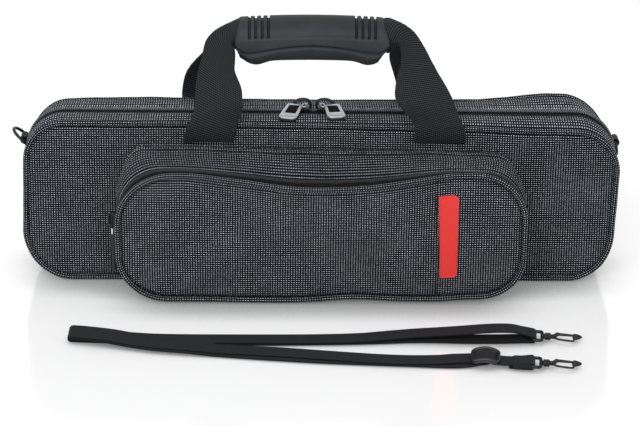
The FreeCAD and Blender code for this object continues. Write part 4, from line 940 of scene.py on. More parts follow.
# %% Lid pad
WALL = 11.9                     # from the case's outline to the free room inside
inner_corners = {name: (rx - WALL, rz - WALL) for name, (rx, rz) in CASE_CORNERS.items()}
inner_case = outline_of(HALF_LENGTH - WALL, WALL, CASE_HEIGHT - WALL, inner_corners, SIDE_LEAN, TOP_LEAN)
flat_pad, pad_edge = column_sheet(inner_case, 0.0, 150, 44)
pad_gap = edge_distance(flat_pad, pad_edge)
px, pz = flat_pad[..., 0], flat_pad[..., 1]
round_edge = np.sqrt(np.clip(1 - (1 - np.clip(pad_gap / 3.2, 0, 1)) ** 2, 0, 1))
TUFT_X, TUFT_Z = 46.0, 34.0     # spacing of the tufts
PAD_Y = 22.4                    # where the pad's edge lies
tuft_x = (px / TUFT_X + 0.5) % 1.0 - 0.5
tuft_z = ((pz - CASE_HEIGHT / 2) / TUFT_Z + 0.5) % 1.0 - 0.5
tufts = np.exp(-((tuft_x * TUFT_X) ** 2 + (tuft_z * TUFT_Z) ** 2) / 30.0) * ease(pad_gap, 6, 14)
face = PAD_Y - 2.4 * round_edge - 0.9 * (1 - np.exp(-pad_gap / 16)) + 1.3 * tufts
rear = PAD_Y + 2.9 * round_edge
lid = skin("lid_pad_plush", settle(np.stack([px, -face, pz], -1)),
           reverse=settle(np.stack([px, -rear, pz], -1)), uv=flat_pad)
dress(lid, plush, "plush", "front_half", "lid_pad")

# %% [markdown]
# The flute lies in three channels: the body joint in the long one, the head and foot joints side
# by side below it. The insert is foam under plush, so the channel edges are rolled, not sharp. The
# face is a height map: each point sinks by how far it lies inside a channel.

# %% Flute insert
CHANNELS = [(-181, 181, 67.4, 105.4), (-195, 37, 19.6, 51.6), (45, 195, 19.6, 51.6)]
CHANNEL_CORNER = 8.0
CHANNEL_SINK = 15.8
INSERT_LOW, INSERT_HIGH = 12.0, 113.0
INSERT_HALF = HALF_LENGTH - 12.2
INSERT_FACE, INSERT_REAR = 5.4, 25.2


def inside_slot(x, z, left, right, low, high, corner):
    """How far a point lies inside a rounded slot; negative outside."""
    qx = np.abs(x - (left + right) / 2) - (right - left) / 2 + corner
    qz = np.abs(z - (low + high) / 2) - (high - low) / 2 + corner
    outside = np.hypot(np.maximum(qx, 0), np.maximum(qz, 0)) + np.minimum(np.maximum(qx, qz), 0)
    return corner - outside


def crowd(low, high, marks, step, near=0.7, reach=4.0):
    """Grid lines from low to high, close together beside each mark."""
    lines = [low]
    while lines[-1] < high:
        gap = min(abs(lines[-1] - mark) for mark in marks)
        lines.append(lines[-1] + (near if gap < reach else step))
    lines[-1] = high
    return np.array(lines)


x_marks = [edge_x for left, right, _, _ in CHANNELS for edge_x in (left, right)]
z_marks = [edge_z for _, _, low_z, high_z in CHANNELS for edge_z in (low_z, high_z)]
x_lines = crowd(-INSERT_HALF, INSERT_HALF, x_marks, 4.0)
z_lines = crowd(INSERT_LOW, INSERT_HIGH, z_marks, 3.5)
bottom_top, _ = column_sheet(inner_case, 0.2, 40, 2)
z_low = np.interp(x_lines, bottom_top[:, 0, 0], bottom_top[:, 0, 1])
z_high = np.interp(x_lines, bottom_top[:, 0, 0], bottom_top[:, 1, 1])
ix = np.broadcast_to(x_lines[:, None], (len(x_lines), len(z_lines)))
iz = np.clip(z_lines[None], z_low[:, None], z_high[:, None])
sunk = np.zeros_like(ix)
for slot_box in CHANNELS:
    sunk = np.maximum(sunk, ease(inside_slot(ix, iz, *slot_box, CHANNEL_CORNER), -1.2, 1.6))
rim_gap = np.minimum.reduce([ix - x_lines[0], x_lines[-1] - ix, iz - z_low[:, None], z_high[:, None] - iz])
rolled = 2.2 * (1 - ease(rim_gap, 0, 3.5))
depth_in = INSERT_FACE + rolled + CHANNEL_SINK * sunk + 0.25 * drift(ix, iz, 40, 5)
insert = skin("flute_insert_plush", settle(np.stack([ix, depth_in, iz], -1)),
              reverse=settle(np.stack([ix, np.full_like(ix, INSERT_REAR), iz], -1)),
              uv=np.stack([ix, iz], -1))
dress(insert, plush, "plush", "back_half", "flute_insert")
print("flute insert with", len(CHANNELS), "channels")
# %% [markdown]
# ## The front pocket
# The pocket is a soft box sewn on to the front panel. Its mouth sags in the middle, because
# nothing holds the cloth up there, and its front drops further than its back. The outline is
# taller but narrower at the seam on the case than at the front, and each ring between them is a
# mix of the two.

# %% Pocket outline and sag
POCKET_HALF = 151.0
SEAM_HALF = 145.5
POCKET_LOW = 1.0
SEAM_TOP = 111.0
FRONT_TOP_EDGE = 101.0
SEAM_Y, FRONT_Y = 35.0, 78.0
SEAM_CORNERS = {"low_left": (36, 36), "top_left": (10, 24),
                "top_right": (14, 28), "low_right": (36, 36)}
FRONT_CORNERS = {"low_left": (38, 37), "top_left": (42, 38),
                 "top_right": (37, 36), "low_right": (37, 36)}
# Sag in two rows: places along the pocket and rises there, of its top at the seam on the case, its
# top at the zipper, and its underside at the zipper.
SEAM_SAG = ([-151, -119, -60, -10, 50, 100, 120, 151], [-0.8, -0.2, -1.2, -2.6, -2.9, -3.6, -4.8, -5.4])
FRONT_SAG = ([-151, -117, -100, -64, -16, 8, 33, 69, 93, 124, 151],
             [-0.5, 0.6, 0.8, -3.2, -9.6, -9.8, -8.2, -2.8, 1.2, 1.4, 0.6])
LOW_SAG = ([-151, -89, -6, 21, 60, 85, 108, 151], [0.4, 0, 0.2, 2.2, 0.8, 0.8, 2.4, 1])


def smooth_steps(x, table):
    """Read a table of positions and values along a smooth line."""
    keys, values = np.array(table[0], float), np.array(table[1], float)
    k = np.clip(np.searchsorted(keys, x) - 1, 0, len(keys) - 2)
    t = np.clip((x - keys[k]) / (keys[k + 1] - keys[k]), 0, 1)
    slope = np.gradient(values, keys)
    width = keys[k + 1] - keys[k]
    h = (2 * t**3 - 3 * t**2 + 1) * values[k] + (t**3 - 2 * t**2 + t) * width * slope[k]
    return h + (3 * t**2 - 2 * t**3) * values[k + 1] + (t**3 - t**2) * width * slope[k + 1]


def sag(points):
    """Move points of the pocket by its sag: a little at the seam on the case, most at the front."""
    points = np.array(points, float)
    x, y, z = points[..., 0], points[..., 1], points[..., 2]
    toward = np.clip((-y - SEAM_Y) / (FRONT_Y - SEAM_Y), 0, 1.05) ** 1.6
    top = smooth_steps(x, SEAM_SAG) * (1 - toward) + smooth_steps(x, FRONT_SAG) * toward
    under = smooth_steps(x, LOW_SAG) * toward
    points[..., 2] = z + top * ease(z, 40, 98) + under * (1 - ease(z, 1, 45))
    return points


def pocket_outline(y):
    """The pocket's outline at a distance in front of the parting plane."""
    share = min(max((y - SEAM_Y) / (FRONT_Y - SEAM_Y), 0), 1)
    corners = {name: tuple(a + (b - a) * share for a, b in zip(SEAM_CORNERS[name], FRONT_CORNERS[name]))
               for name in SEAM_CORNERS}
    half_length = SEAM_HALF + (POCKET_HALF - SEAM_HALF) * min(2.2 * share, 1)
    return outline_of(half_length, POCKET_LOW, SEAM_TOP + (FRONT_TOP_EDGE - SEAM_TOP) * share, corners)


def pocket_rings(profile, shares):
    """Rings of the pocket: for each (depth, y) a run of points at shares of the way round."""
    columns = []
    for depth, y in profile:
        ring = pocket_outline(y)
        run, out = places(ring, np.asarray(shares) * ring["length"])
        flat = run - out * depth
        columns.append(np.stack([flat[:, 0], np.full(len(flat), -y), flat[:, 1]], -1))
    return sag(np.stack(columns, 1))


print("pocket sags by", -min(FRONT_SAG[1]), "mm at its mouth")

# %% [markdown]
# The gusset of the pocket swells between its two seams like the side of a cushion. Its first and
# last few millimetres are pulled in by the seams.

# %% Pocket gusset
around = np.linspace(0, 1, 300, endpoint=False)
POCKET_PROFILE = [(3.4, 34.2), (2.3, 35), (1.5, 36.2), (0.8, 38.5), (0.2, 42.6), (0.1, 43.9),
                  (0.8, 45), (0.05, 46.1), (-0.2, 49), (-0.1, 55), (0.4, 61), (0.9, 64.5),
                  (1.3, 66.2), (1.9, 67), (2.8, 66.8)]
profile = curve_through(POCKET_PROFILE, 46)
outer = pocket_rings(profile, around)
inner = pocket_rings(profile + [CLOTH, 0], around)
length = pocket_outline(50)["length"]
crumple = 0.5 * drift(around[:, None] * length, profile[None, :, 1] * 3, 50, 31)
crumple = crumple * np.exp(-((profile[None, :, 1] - 50) / 11) ** 2)
outer[..., 2] = np.maximum(outer[..., 2] + crumple, 0.3)
POCKET_STRETCH = np.array([1.0, 0.68])      # the cloth is pulled across its depth
gusset = skin("pocket_gusset_cloth", outer, wrap_u=True, reverse=inner,
              uv=lay_out(outer, True, False) * POCKET_STRETCH)
dress(gusset, tweed, "tweed", "front_half", "pocket_gusset")

seam = pocket_rings([(0.55, 39.3)], np.append(around, 1.0))[:, 0]
seam[:, 2] = np.maximum(seam[:, 2] + 0.1, 0.4)
stitches("pocket_seam_stitches", seam, "front_half")
topstitch = pocket_rings([(0.6, 45.0)], np.append(around, 1.0))[:, 0]
topstitch = topstitch[topstitch[:, 2] > 60.0]
stitches("pocket_topstitch", topstitch, "front_half")
front_seam = pocket_rings([(0.75, 63.4)], np.append(around, 1.0))[:, 0]
front_seam[:, 2] = np.maximum(front_seam[:, 2], 0.4)
stitches("pocket_mouth_stitches", front_seam, "front_half")

# %% [markdown]
# The pocket's zipper is a narrower coil. Its fixed tape belongs to the case side and the other
# tape, with a plain black strip, belongs to the flap. Below the ends of the zipper the same gap is
# closed by a strip of cloth, the gore.

# %% Pocket zipper
POCKET_ZIP_END = 64.0


def pocket_shares(height, above_it, count):
    """Shares of the way round where the pocket is above or below a height."""
    ring = pocket_outline(71.0)
    z = ring["points"][:, 1]
    arc = ring["arc"] / ring["length"]
    if above_it:
        kept = arc[z > height]
        return np.linspace(kept[0], kept[-1], count)
    left = arc[(z <= height) & (arc < 0.5)].max()
    right = arc[(z <= height) & (arc > 0.5)].min() - 1
    return np.linspace(right, left, count)


mouth = pocket_shares(POCKET_ZIP_END, True, 240)
profile = curve_through([(2.4, 66.4), (1.9, 67.3), (1.6, 68.4), (1.7, 69.8), (1.9, 70.6)], 10)
fixed = skin("pocket_fixed_tape", pocket_rings(profile, mouth),
             reverse=pocket_rings(profile + [0.8, 0], mouth))
dress(fixed, tape_twill, "zip_cloth", "front_half", "pocket_zipper_fixed")
profile = [(1.9, 71.9), (1.6, 72.6), (1.1, 73.6), (0.9, 74.8), (1.2, 75.9), (2.2, 76.4)]
profile = curve_through(profile, 12)
moving = skin("pocket_flap_strip", pocket_rings(profile, mouth),
              reverse=pocket_rings(profile + [0.8, 0], mouth))
dress(moving, plain_weave, "zip_cloth", "pocket_flap", "pocket_zipper_moving")
for name, y, body, phase in (("pocket_fixed_coil", 70.1, "front_half", 0.0),
                             ("pocket_flap_coil", 71.5, "pocket_flap", math.pi)):
    teeth = coil(name, pocket_rings([(1.5, y)], mouth)[:, 0], 0.68, COIL_PITCH, phase)
    dress(teeth, fine_coil_nylon, "zip_cloth", body)
print("pocket zipper with coils", COIL_PITCH, "mm apart")

below = pocket_shares(POCKET_ZIP_END, False, 200)
profile = [(2.6, 66.3), (1.7, 67.2), (1.2, 68.6), (1.0, 71.3), (1.1, 74.0), (1.5, 75.6), (2.4, 76.4)]
profile = curve_through(profile, 18)
outer = pocket_rings(profile, below)
outer[..., 2] = np.maximum(outer[..., 2], 0.5)
gore = skin("pocket_gore", outer, reverse=pocket_rings(profile + [0.9, 0], below))
dress(gore, tweed, "tweed", None, "pocket_lower_gusset")
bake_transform(gore)

# %% [markdown]
# The front of the pocket is one panel with piping round it. It is soft: it swells forward in the
# middle and near its lower edge, and a dart runs from top to bottom near the right-hand end, where
# the edge of the tag is caught. Extra columns beside the dart make its groove crisp.

# %% Pocket panel and piping
DART_X, DART_Z = 85.2, 53.0
DART_LEAN = 0.034               # the dart isn't quite upright
dart_columns = DART_X + np.array([-2, -1.3, -0.8, -0.4, 0, 0.4, 0.8, 1.3, 2])
flat, edge = column_sheet(pocket_outline(FRONT_Y), PANEL_DEPTH, 170, 50, extra=dart_columns)
x, z = flat[..., 0], flat[..., 1]
gap = edge_distance(flat, edge)
dip = 1.8 * np.exp(-((gap / 1.7) ** 2))
belly = 3.4 * (1 - np.exp(-gap / 16)) * (1 + 0.25 * ease(-z, -60, -20))
waves = 0.8 * drift(x, z, 110, 41) * ease(gap, 4, 25)
dart_gap = x - DART_X + DART_LEAN * (z - DART_Z)
dart = 0.9 * np.exp(-((dart_gap / 0.7) ** 2)) + 0.5 * np.exp(-((dart_gap / 5.0) ** 2))
tuck = 1.6 * np.exp(-((dart_gap - 0.35 * (18.0 - z)) / 1.6) ** 2) * ease(z, 4, 9) * (1 - ease(z, 14, 19))
reach_y = FRONT_Y - 1.1 - dip + belly + waves - dart - tuck
outer = sag(np.stack([x, -reach_y, z], -1))
inner = outer + [0, CLOTH, 0]
panel = skin("pocket_panel_cloth", outer, reverse=inner, uv=np.stack([x, z], -1))
dress(panel, tweed, "tweed", "pocket_flap", "pocket_panel")
print(panel.name, "reaches y =", round(float(outer[..., 1].min()), 1))

path = pocket_rings([(PIPING_RADIUS, FRONT_Y)], around)[:, 0]
piping = tube("pocket_piping_cord", path, PIPING_RADIUS, sides=14, closed=True)
dress(piping, tweed, "tweed", "pocket_flap", "pocket_piping")


def panel_face(at_x, at_z):
    """Where the pocket panel's face is, straight in front of a point."""
    away = (x - at_x) ** 2 + (z - at_z) ** 2
    k = np.argsort(away.ravel())[:6]
    w = 1 / (away.ravel()[k] + 0.01)
    return (outer.reshape(-1, 3)[k] * w[:, None]).sum(0) / w.sum()


dart_line = []
for at_z in np.linspace(5, 96, 40):
    dart_line.append(panel_face(DART_X - 1.7 - DART_LEAN * (at_z - DART_Z), at_z))
stitches("dart_stitches", np.array(dart_line) - [0, 0.15, 0], "pocket_flap")

# %% [markdown]
# The tag is a plain moulded patch of red PVC. Its left edge is caught in the dart and its two free
# corners are round. A raised rim runs round it with a shallow field inside, which is left bare.

# %% Bare red tag
TAG = {"left": 86.2, "right": 99.8, "low": 20.9, "high": 84.9, "corner": 3.4}


def tag_ring(inset, count=120):
    """Points round the tag, set in by an amount; only the right-hand corners are round."""
    left, right = TAG["left"] + inset, TAG["right"] - inset
    low_z, high_z = TAG["low"] + inset, TAG["high"] - inset
    r = max(TAG["corner"] - inset, 0.3)
    run = [(left, low_z + 0.4), (left, high_z - 0.4), (left + 0.4, high_z)]
    turn = np.linspace(0, math.pi / 2, 9)
    run += [(right - r + r * math.sin(a), high_z - r + r * math.cos(a)) for a in turn]
    run += [(right - r + r * math.cos(a), low_z + r - r * math.sin(a)) for a in turn]
    run += [(left + 0.4, low_z), (left, low_z + 0.4)]
    run = np.array(run)
    arc = arc_along(run)
    return read_at(run, arc, np.linspace(0, arc[-1], count, endpoint=False))


base_z = np.linspace(20, 90, 15)
base_y = np.array([panel_face((TAG["left"] + TAG["right"]) / 2, at_z)[1] for at_z in base_z])
# Section of the tag, from its back over the rim to the field: distance in from its edge, and rise.
tag_steps = [(0.0, -0.6), (0.0, 0.55), (0.25, 0.95), (0.7, 1.1), (1.2, 1.1), (1.5, 0.95), (1.7, 0.7),
             (3.0, 0.78), (5.0, 0.82), (6.6, 0.84)]
rings = []
for inset_by, rise in tag_steps:
    run = tag_ring(inset_by)
    free = (run[:, 0] - TAG["left"]) / (TAG["right"] - TAG["left"])
    run[:, 0] -= DART_LEAN * (run[:, 1] - DART_Z) * (1 - free)
    sagged = sag(np.stack([run[:, 0], np.full(len(run), -FRONT_Y), run[:, 1]], -1))
    face_y = np.interp(run[:, 1], base_z, base_y)
    rings.append(np.stack([sagged[:, 0], face_y - rise, sagged[:, 2]], -1))
grid = np.stack(rings, 0)
tag = skin("red_tag", grid, wrap_v=True, caps=True, sharp=40)
dress(tag, red_pvc, "red_label", "pocket_flap", "label")
print("tag", round(float(grid[..., 1].min()), 1), "to", round(float(grid[..., 1].max()), 1), "mm in y")
# %% [markdown]
# ## The carrying handles
# Each handle is a pair of 38 mm webs sewn into the panel under the pocket seam. A web climbs over
# the edge of the case, leans back and twists, until it wraps the end of the grip. Its two edges are
# drawn as curves through a few stations, and the strip between them is cupped a little more
# towards the grip.

# %% Handle webs
WEB_WIDTH = 38.0
PIVOT_Y, PIVOT_Z = 37.4, 119.4
GRIP_LEFT, GRIP_RIGHT = -64.0, 50.0
GRIP_ENDS = {"left": GRIP_LEFT, "right": GRIP_RIGHT}
WEB_MIDDLES = {-1: {"left": -82.6, "right": 87.6}, 1: {"left": -86.0, "right": 75.0}}
GRIP_AXIS_Z = 183.2
# Stations up a web, outer edge then inner edge: share of the way from the sewn place to the grip's
# end, lean back from the pivot line, rise above it.
WEB_STATIONS = [((0, 2.4, -8.3), (0, 2.4, -8.3)),
                ((0, 0.7, -4), (0.02, 0.7, -4)),
                ((0, -0.2, 2.5), (0.03, -0.2, 2.5)),
                ((0.02, 0.6, 9), (0.10, 0.2, 9)),
                ((0.12, 7, 24.5), (0.45, -1, 22.5)),
                ((0.33, 19, 43.5), (0.75, 8.5, 38.5)),
                ((0.50, 28, 58.2), (0.60, 17.5, 49.2)),
                ((0.70, 33.5, 69.2), (0.70, 22, 55.7))]

# Each web has been pulled about: shift to the right of its outer and inner edge, by rise.
WEB_PULL = {("left", -1): (([-8, 4, 16, 25, 37, 53, 63, 68, 74],
                            [-1, 2.4, 5.5, 3.7, 0, -2.6, -4.2, -2.5, 2]),
                           ([-8, -2, 5, 14, 23, 31, 45, 54, 62],
                            [-1.5, -0.2, 1, 4.5, 5.2, 5.1, -0.5, -0.7, -1])),
            ("right", -1): (([-8, 2, 9, 22, 33, 46, 60, 72], [0, -0.8, -2.9, -3.7, -3.7, -4, -2.8, 0]),
                            ([-8, 9, 26, 40, 52, 60], [0, 0, -4.6, 0.6, 1.5, 4.5])),
            ("left", 1): (([-8, 34, 44, 60, 74], [0, 0, 3, 9, 7]), ([-8, 72], [0, 0])),
            ("right", 1): (([-8, 72], [0, 0]), ([-8, 15, 35, 72], [3, 3, 0.5, 0]))}


def web_edges(word, side):
    """The outer and the inner edge of one web, as smooth runs of points."""
    lean = 1 if word == "right" else -1
    middle, grip_end = WEB_MIDDLES[side][word], GRIP_ENDS[word]
    reach = abs(grip_end - middle)
    runs = []
    for which, start in ((0, -WEB_WIDTH / 2), (1, WEB_WIDTH / 2)):
        run = []
        for station in WEB_STATIONS:
            share, lean_back, rise = station[which]
            along = start + share * (reach - start)
            run.append((middle - lean * along, side * (PIVOT_Y - lean_back), PIVOT_Z + rise))
        if which == 0:
            run.append((grip_end + lean * 0.8, side * 1.0, GRIP_AXIS_Z + 12.0))
            run.append((grip_end - lean * 5.0, side * 0.8, GRIP_AXIS_Z + 11.6))
        else:
            run.append((grip_end + lean * 0.8, side * 12.4, GRIP_AXIS_Z - 3.4))
            run.append((grip_end - lean * 5.0, side * 11.4, GRIP_AXIS_Z - 3.4))
        run = curve_through(run, 110)
        run[:, 0] += smooth_steps(run[:, 2] - PIVOT_Z, WEB_PULL[word, side][which])
        runs.append(run)
    return runs


def web(name, word, side):
    """One web: the strip between its two edges, cupped towards the grip and a little frayed."""
    outer_edge, inner_edge = web_edges(word, side)
    share = np.linspace(0, 1, 17)
    grid = outer_edge[:, None] * (1 - share)[None, :, None] + inner_edge[:, None] * share[None, :, None]
    normal = np.cross(np.gradient(grid, axis=0), np.gradient(grid, axis=1))
    normal /= np.linalg.norm(normal, axis=2)[..., None]
    outward = np.where(normal[..., 1] * side + 0.3 * normal[..., 2] > 0, 1.0, -1.0)
    normal *= np.sign(outward.mean(1))[:, None, None]
    climb = np.linspace(0, 1, len(grid))
    cup = (0.3 + 4.0 * ease(climb, 0.72, 0.97)) * ease(climb, 0.1, 0.3)
    bow = cup[:, None] * (1 - (2 * share - 1) ** 2)[None]
    fray = 0.12 * np.sin(np.arange(len(grid)) * 1.7)[:, None] * (np.abs(2 * share - 1) > 0.99)
    grid = grid + normal * (bow + fray)[..., None]
    half_thick = 1.0 - 0.35 * ease(np.abs(2 * share - 1), 0.9, 1.0)
    push = normal * half_thick[None, :, None]
    length = np.concatenate([[0], np.cumsum(np.linalg.norm(np.diff(grid, axis=0), axis=2).mean(1))])
    width = share * WEB_WIDTH * (1 if word == "left" else -1)
    uv = np.stack(np.meshgrid(length, width, indexing="ij"), -1)
    return skin(name, grid + push, reverse=grid - push, uv=uv)


for half, side in halves.items():
    for word in ("left", "right"):
        strip = web("%s_handle_web_%s" % (half, word), word, side)
        dress(strip, handle_webbing, "webbing", None, "%s_web_%s" % (half, word),
              "%s_web_end_%s" % (half, word))
        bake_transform(strip)

# %% [markdown]
# The grip is moulded in two shells that close round the webbing. Each has four grooves near each
# end, a crease low on its face, and below that a skirt. The underside swells at both ends, to stop
# the hand from sliding. Angles are counted from the back over the top, and the radius is a table
# of the angle and the distance from the nearest end.

# %% Grip shells
SLOT_INSET, SLOT_PITCH, SLOT_WIDTH, SLOT_DEPTH = 10.5, 4.7, 1.7, 4.5
CREASE = 173.0
SHELL_BORE = 12.4               # inside radius of the shells
slots = [GRIP_LEFT + SLOT_INSET + k * SLOT_PITCH for k in range(4)]
slots += [GRIP_RIGHT - SLOT_INSET - k * SLOT_PITCH for k in range(4)]
near_end = np.array([0.4, 0.9, 1.5])
grip_x = [np.linspace(GRIP_LEFT, GRIP_RIGHT, 58), GRIP_LEFT + near_end, GRIP_RIGHT - near_end]
for at in slots:
    grip_x.append(at + SLOT_WIDTH / 2 * np.array([-1.35, -1.0, -0.75, 0.75, 1.0, 1.35]))
grip_x = np.unique(np.round(np.concatenate(grip_x), 3))
end_gap = np.minimum(grip_x - GRIP_LEFT, GRIP_RIGHT - grip_x)
in_slot = np.zeros_like(grip_x)
for at in slots:
    wall = ease(np.abs(grip_x - at), SLOT_WIDTH / 2 - 0.25, SLOT_WIDTH / 2 + 0.1)
    in_slot = np.maximum(in_slot, 1 - wall)
# Where the front shell's skirt ends, in degrees round the grip, by distance from the nearest end.
skirt_end = np.interp(end_gap, [0, 1.5, 4, 7, 9, 14, 25, 40, 57],
                      [189, 196, 207, 216, 219, 218.5, 209, 199, 194.5])
GRIP_ARCH = 2.0
END_SLANT = {"left": 2.0, "right": 3.6}
LOW_SLANT = 1.5


def shell_radius(angle, gap, slot):
    """Outside radius of a shell at an angle round the grip, before the swells of its underside."""
    radius = 15.0 + 0.5 * ease(angle, CREASE - 2, CREASE + 3) + 0.5 * ease(angle, CREASE, 215)
    depth = SLOT_DEPTH * (0.36 + 0.64 * ease(angle, 95, 130))
    radius = radius - depth * slot * ease(angle, 84, 88) * (1 - ease(angle, CREASE - 5, CREASE - 1))
    return radius - 1.5 * (1 - np.clip(gap / 2.2, 0, 1)) ** 2


def grip_axis(x):
    """Height of the grip's axis, which arches a little."""
    middle = (GRIP_LEFT + GRIP_RIGHT) / 2
    return GRIP_AXIS_Z - 0.2 - GRIP_ARCH * ((x - middle) / (GRIP_RIGHT - middle)) ** 2


def ring_points(x, angle, radius):
    """Points of a shell; its ends slant, so the top is shorter than the bottom."""
    a = np.radians(angle)
    high = ease(np.sin(a), -0.1, 1.0)
    low = LOW_SLANT * ease(-np.sin(a), 0.1, 0.9)
    slant = ((high + low) * END_SLANT["left"] * ease(-x, -GRIP_LEFT - 9, -GRIP_LEFT)
             - (high + low) * END_SLANT["right"] * ease(x, GRIP_RIGHT - 9, GRIP_RIGHT))
    return np.stack([x + slant, radius * np.cos(a), grip_axis(x) + radius * np.sin(a)], -1)


def grip_shell(name, angle, radius, body, node):
    """A shell from angles and radii at each station along the grip."""
    gx = np.broadcast_to(grip_x[:, None], angle.shape)
    inner = ring_points(gx, angle, np.minimum(radius - 0.8, SHELL_BORE))
    shell = skin(name, ring_points(gx, angle, radius), reverse=inner)
    dress(shell, grip_rubber, "rubber_grip", body, node)


share = np.linspace(0, 1, 46)
angle = 91.0 + (skirt_end[:, None] - 91.0) * share[None]
radius = shell_radius(angle, end_gap[:, None], in_slot[:, None]) - 0.7 * ease(share, 0.96, 1.0)[None]
grip_shell("grip_front_shell", angle, radius, "front_handle", "grip_front")

share = np.linspace(0, 1, 110)
start = skirt_end + 1.5
angle = start[:, None] + (449.0 - start[:, None]) * share[None]
mirror = np.where(angle > 270, 540 - angle, angle)
base = shell_radius(mirror, end_gap[:, None], in_slot[:, None])
swell = 2.9 * ease(end_gap, 0, 12) + 2.8 * np.exp(-(((end_gap - 16) / 7.5) ** 2))
base = base + swell[:, None] * np.exp(-(((angle - 268) / 42) ** 2))
tuck = 1 - ease(angle - start[:, None], 0, 8)
grip_shell("grip_back_shell", angle, base - 3.8 * tuck, "back_handle", "grip_back")

core_x = np.array([GRIP_LEFT - 3.0, GRIP_LEFT - 2.0, GRIP_LEFT + 2, 0, GRIP_RIGHT - 2, GRIP_RIGHT + 3.5,
                   GRIP_RIGHT + 5.5])
core_path = np.stack([core_x, np.zeros(7), grip_axis(core_x) - [2.6, 2.0, 0.4, 0, 0.4, 2.4, 4.0]], -1)
core = tube("grip_webbing_core", core_path, [8.6, 9.8, 10.6, 10.6, 10.6, 10.2, 8.4], sides=40)
dress(core, handle_webbing, "webbing", "back_handle")

# %% [markdown]
# ## Sliders and pulls
# A slider is a small zinc casting: a plate with a blunt nose, turned-up edges and an arched bridge
# that holds the pull. The plates are stacks of the same rounded outline, set in at the top and
# bottom, which gives every edge a small round.

# %% Cast plates
def rounded_run(left, right, low_y, high_y, radii, count=72):
    """Points round a rectangle, with a radius for each corner, anticlockwise from the low left."""
    corners = [(left, low_y, 1, 1, 180), (right, low_y, -1, 1, 270),
               (right, high_y, -1, -1, 0), (left, high_y, 1, -1, 90)]
    run = []
    for (cx, cy, sx, sy, start), r in zip(corners, radii):
        for k in range(9):
            a = math.radians(start + 90 * k / 8)
            run.append((cx + sx * r + r * math.cos(a), cy + sy * r + r * math.sin(a)))
    run = np.array(run + run[:1])
    arc = arc_along(run)
    return read_at(run, arc, np.linspace(0, arc[-1], count, endpoint=False))


def inset(run, amount):
    """The same run, moved inwards by an amount."""
    tangent = np.roll(run, -1, 0) - np.roll(run, 1, 0)
    tangent /= np.linalg.norm(tangent, axis=1)[:, None] + 1e-9
    return run + np.stack([-tangent[:, 1], tangent[:, 0]], -1) * amount


def cast_plate(name, run, low_z, high_z, edge, place):
    """A solid plate with rounded edges from an outline that runs anticlockwise."""
    steps = [(edge, low_z), (0.3 * edge, low_z + 0.3 * edge), (0.0, low_z + edge), (0.0, high_z - edge),
             (0.3 * edge, high_z - 0.3 * edge), (edge, high_z)]
    grid = np.stack([np.column_stack([inset(run, e), np.full(len(run), z)]) for e, z in steps])
    return skin(name, place(grid), wrap_v=True, caps=True, sharp=35)


def cast_frame(name, run, hole, low_z, high_z, edge, place):
    """A plate with a window: both outlines run anticlockwise with the same number of points."""
    steps = [(run, edge, low_z), (run, 0.0, low_z + edge), (run, 0.0, high_z - edge), (run, edge, high_z),
             (hole, -edge, high_z), (hole, 0.0, high_z - edge), (hole, 0.0, low_z + edge),
             (hole, -edge, low_z)]
    grid = np.stack([np.column_stack([inset(r, e), np.full(len(r), z)]) for r, e, z in steps])
    return skin(name, place(grid), wrap_u=True, wrap_v=True, sharp=35)


def placed(origin, tilt_x=0.0, turn_z=0.0, turn_y=0.0):
    """A function that tilts local points about X, turns them about Y and Z, and moves them."""
    a, b, c = math.radians(tilt_x), math.radians(turn_z), math.radians(turn_y)
    about_x = np.array([[1, 0, 0], [0, math.cos(a), -math.sin(a)], [0, math.sin(a), math.cos(a)]])
    about_z = np.array([[math.cos(b), -math.sin(b), 0], [math.sin(b), math.cos(b), 0], [0, 0, 1]])
    about_y = np.array([[math.cos(c), 0, math.sin(c)], [0, 1, 0], [-math.sin(c), 0, math.cos(c)]])
    turn = about_z @ about_x @ about_y
    return lambda points: np.asarray(points, float) @ turn.T + np.asarray(origin, float)


# %% Main sliders
SLIDER_AT = {"left": -14.1, "right": 2.9}
SLIDER_LENGTH = 14.0
BAR_Z = 128.8
for word, at in SLIDER_AT.items():
    lean = 1 if word == "right" else -1
    there = placed((at, 0, 0), turn_z=0 if lean > 0 else 180)
    # The nose (where the two coils part) is towards the other slider: local -X.
    run = rounded_run(-SLIDER_LENGTH / 2, SLIDER_LENGTH / 2, -4.1, 4.1, (2.4, 3.4, 3.4, 2.4))
    run[:, 1] *= 1 - 0.22 * ease(run[:, 0], -2, 7)
    parts = [cast_plate("plate", run, 125.6, 126.7, 0.3, there),
             cast_plate("underplate", run, 120.4, 121.6, 0.35, there)]
    wing = [(-6.4, 3.8, 125.6), (-2, 4.0, 126.2), (3, 3.4, 126.2), (6.2, 2.7, 125.5)]
    for hand in (-1, 1):
        path = curve_through(np.array(wing) * [1, hand, 1], 16)
        parts.append(tube("wing", there(path), 0.75, 8, up=(0, 0, 1)))
    path = [(-6.0, 0, 126.0), (-6.4, 0, 128.6), (-5.7, 0, 131.0), (-3.2, 0, 132.4), (0, 0, 132.7),
            (3.2, 0, 132.0), (5.8, 0, 130.2), (6.9, 0, 128.0), (6.6, 0, 126.0)]
    parts.append(tube("bridge", there(curve_through(path, 48)), 1.1, 12, flat=1.5))
    post = [(-5.6, 0, 121.0), (-5.6, 0, 126.2)]
    parts.append(tube("post", there(curve_through(post, 4)), 0.9, 10, flat=0.6))
    casting = join("slider_%s_casting" % word, parts)
    dress(casting, black_enamel, "black_metal", "slider_" + word, "slider_" + word)

# %% [markdown]
# A pull is a plated frame with a black window and a plain, bare end. A black plate under it shows
# below that end as painted shade. A flat loop at its inner top corner lies under the arch of the
# bridge, so the plates stand apart. The two lie forward over the front half.

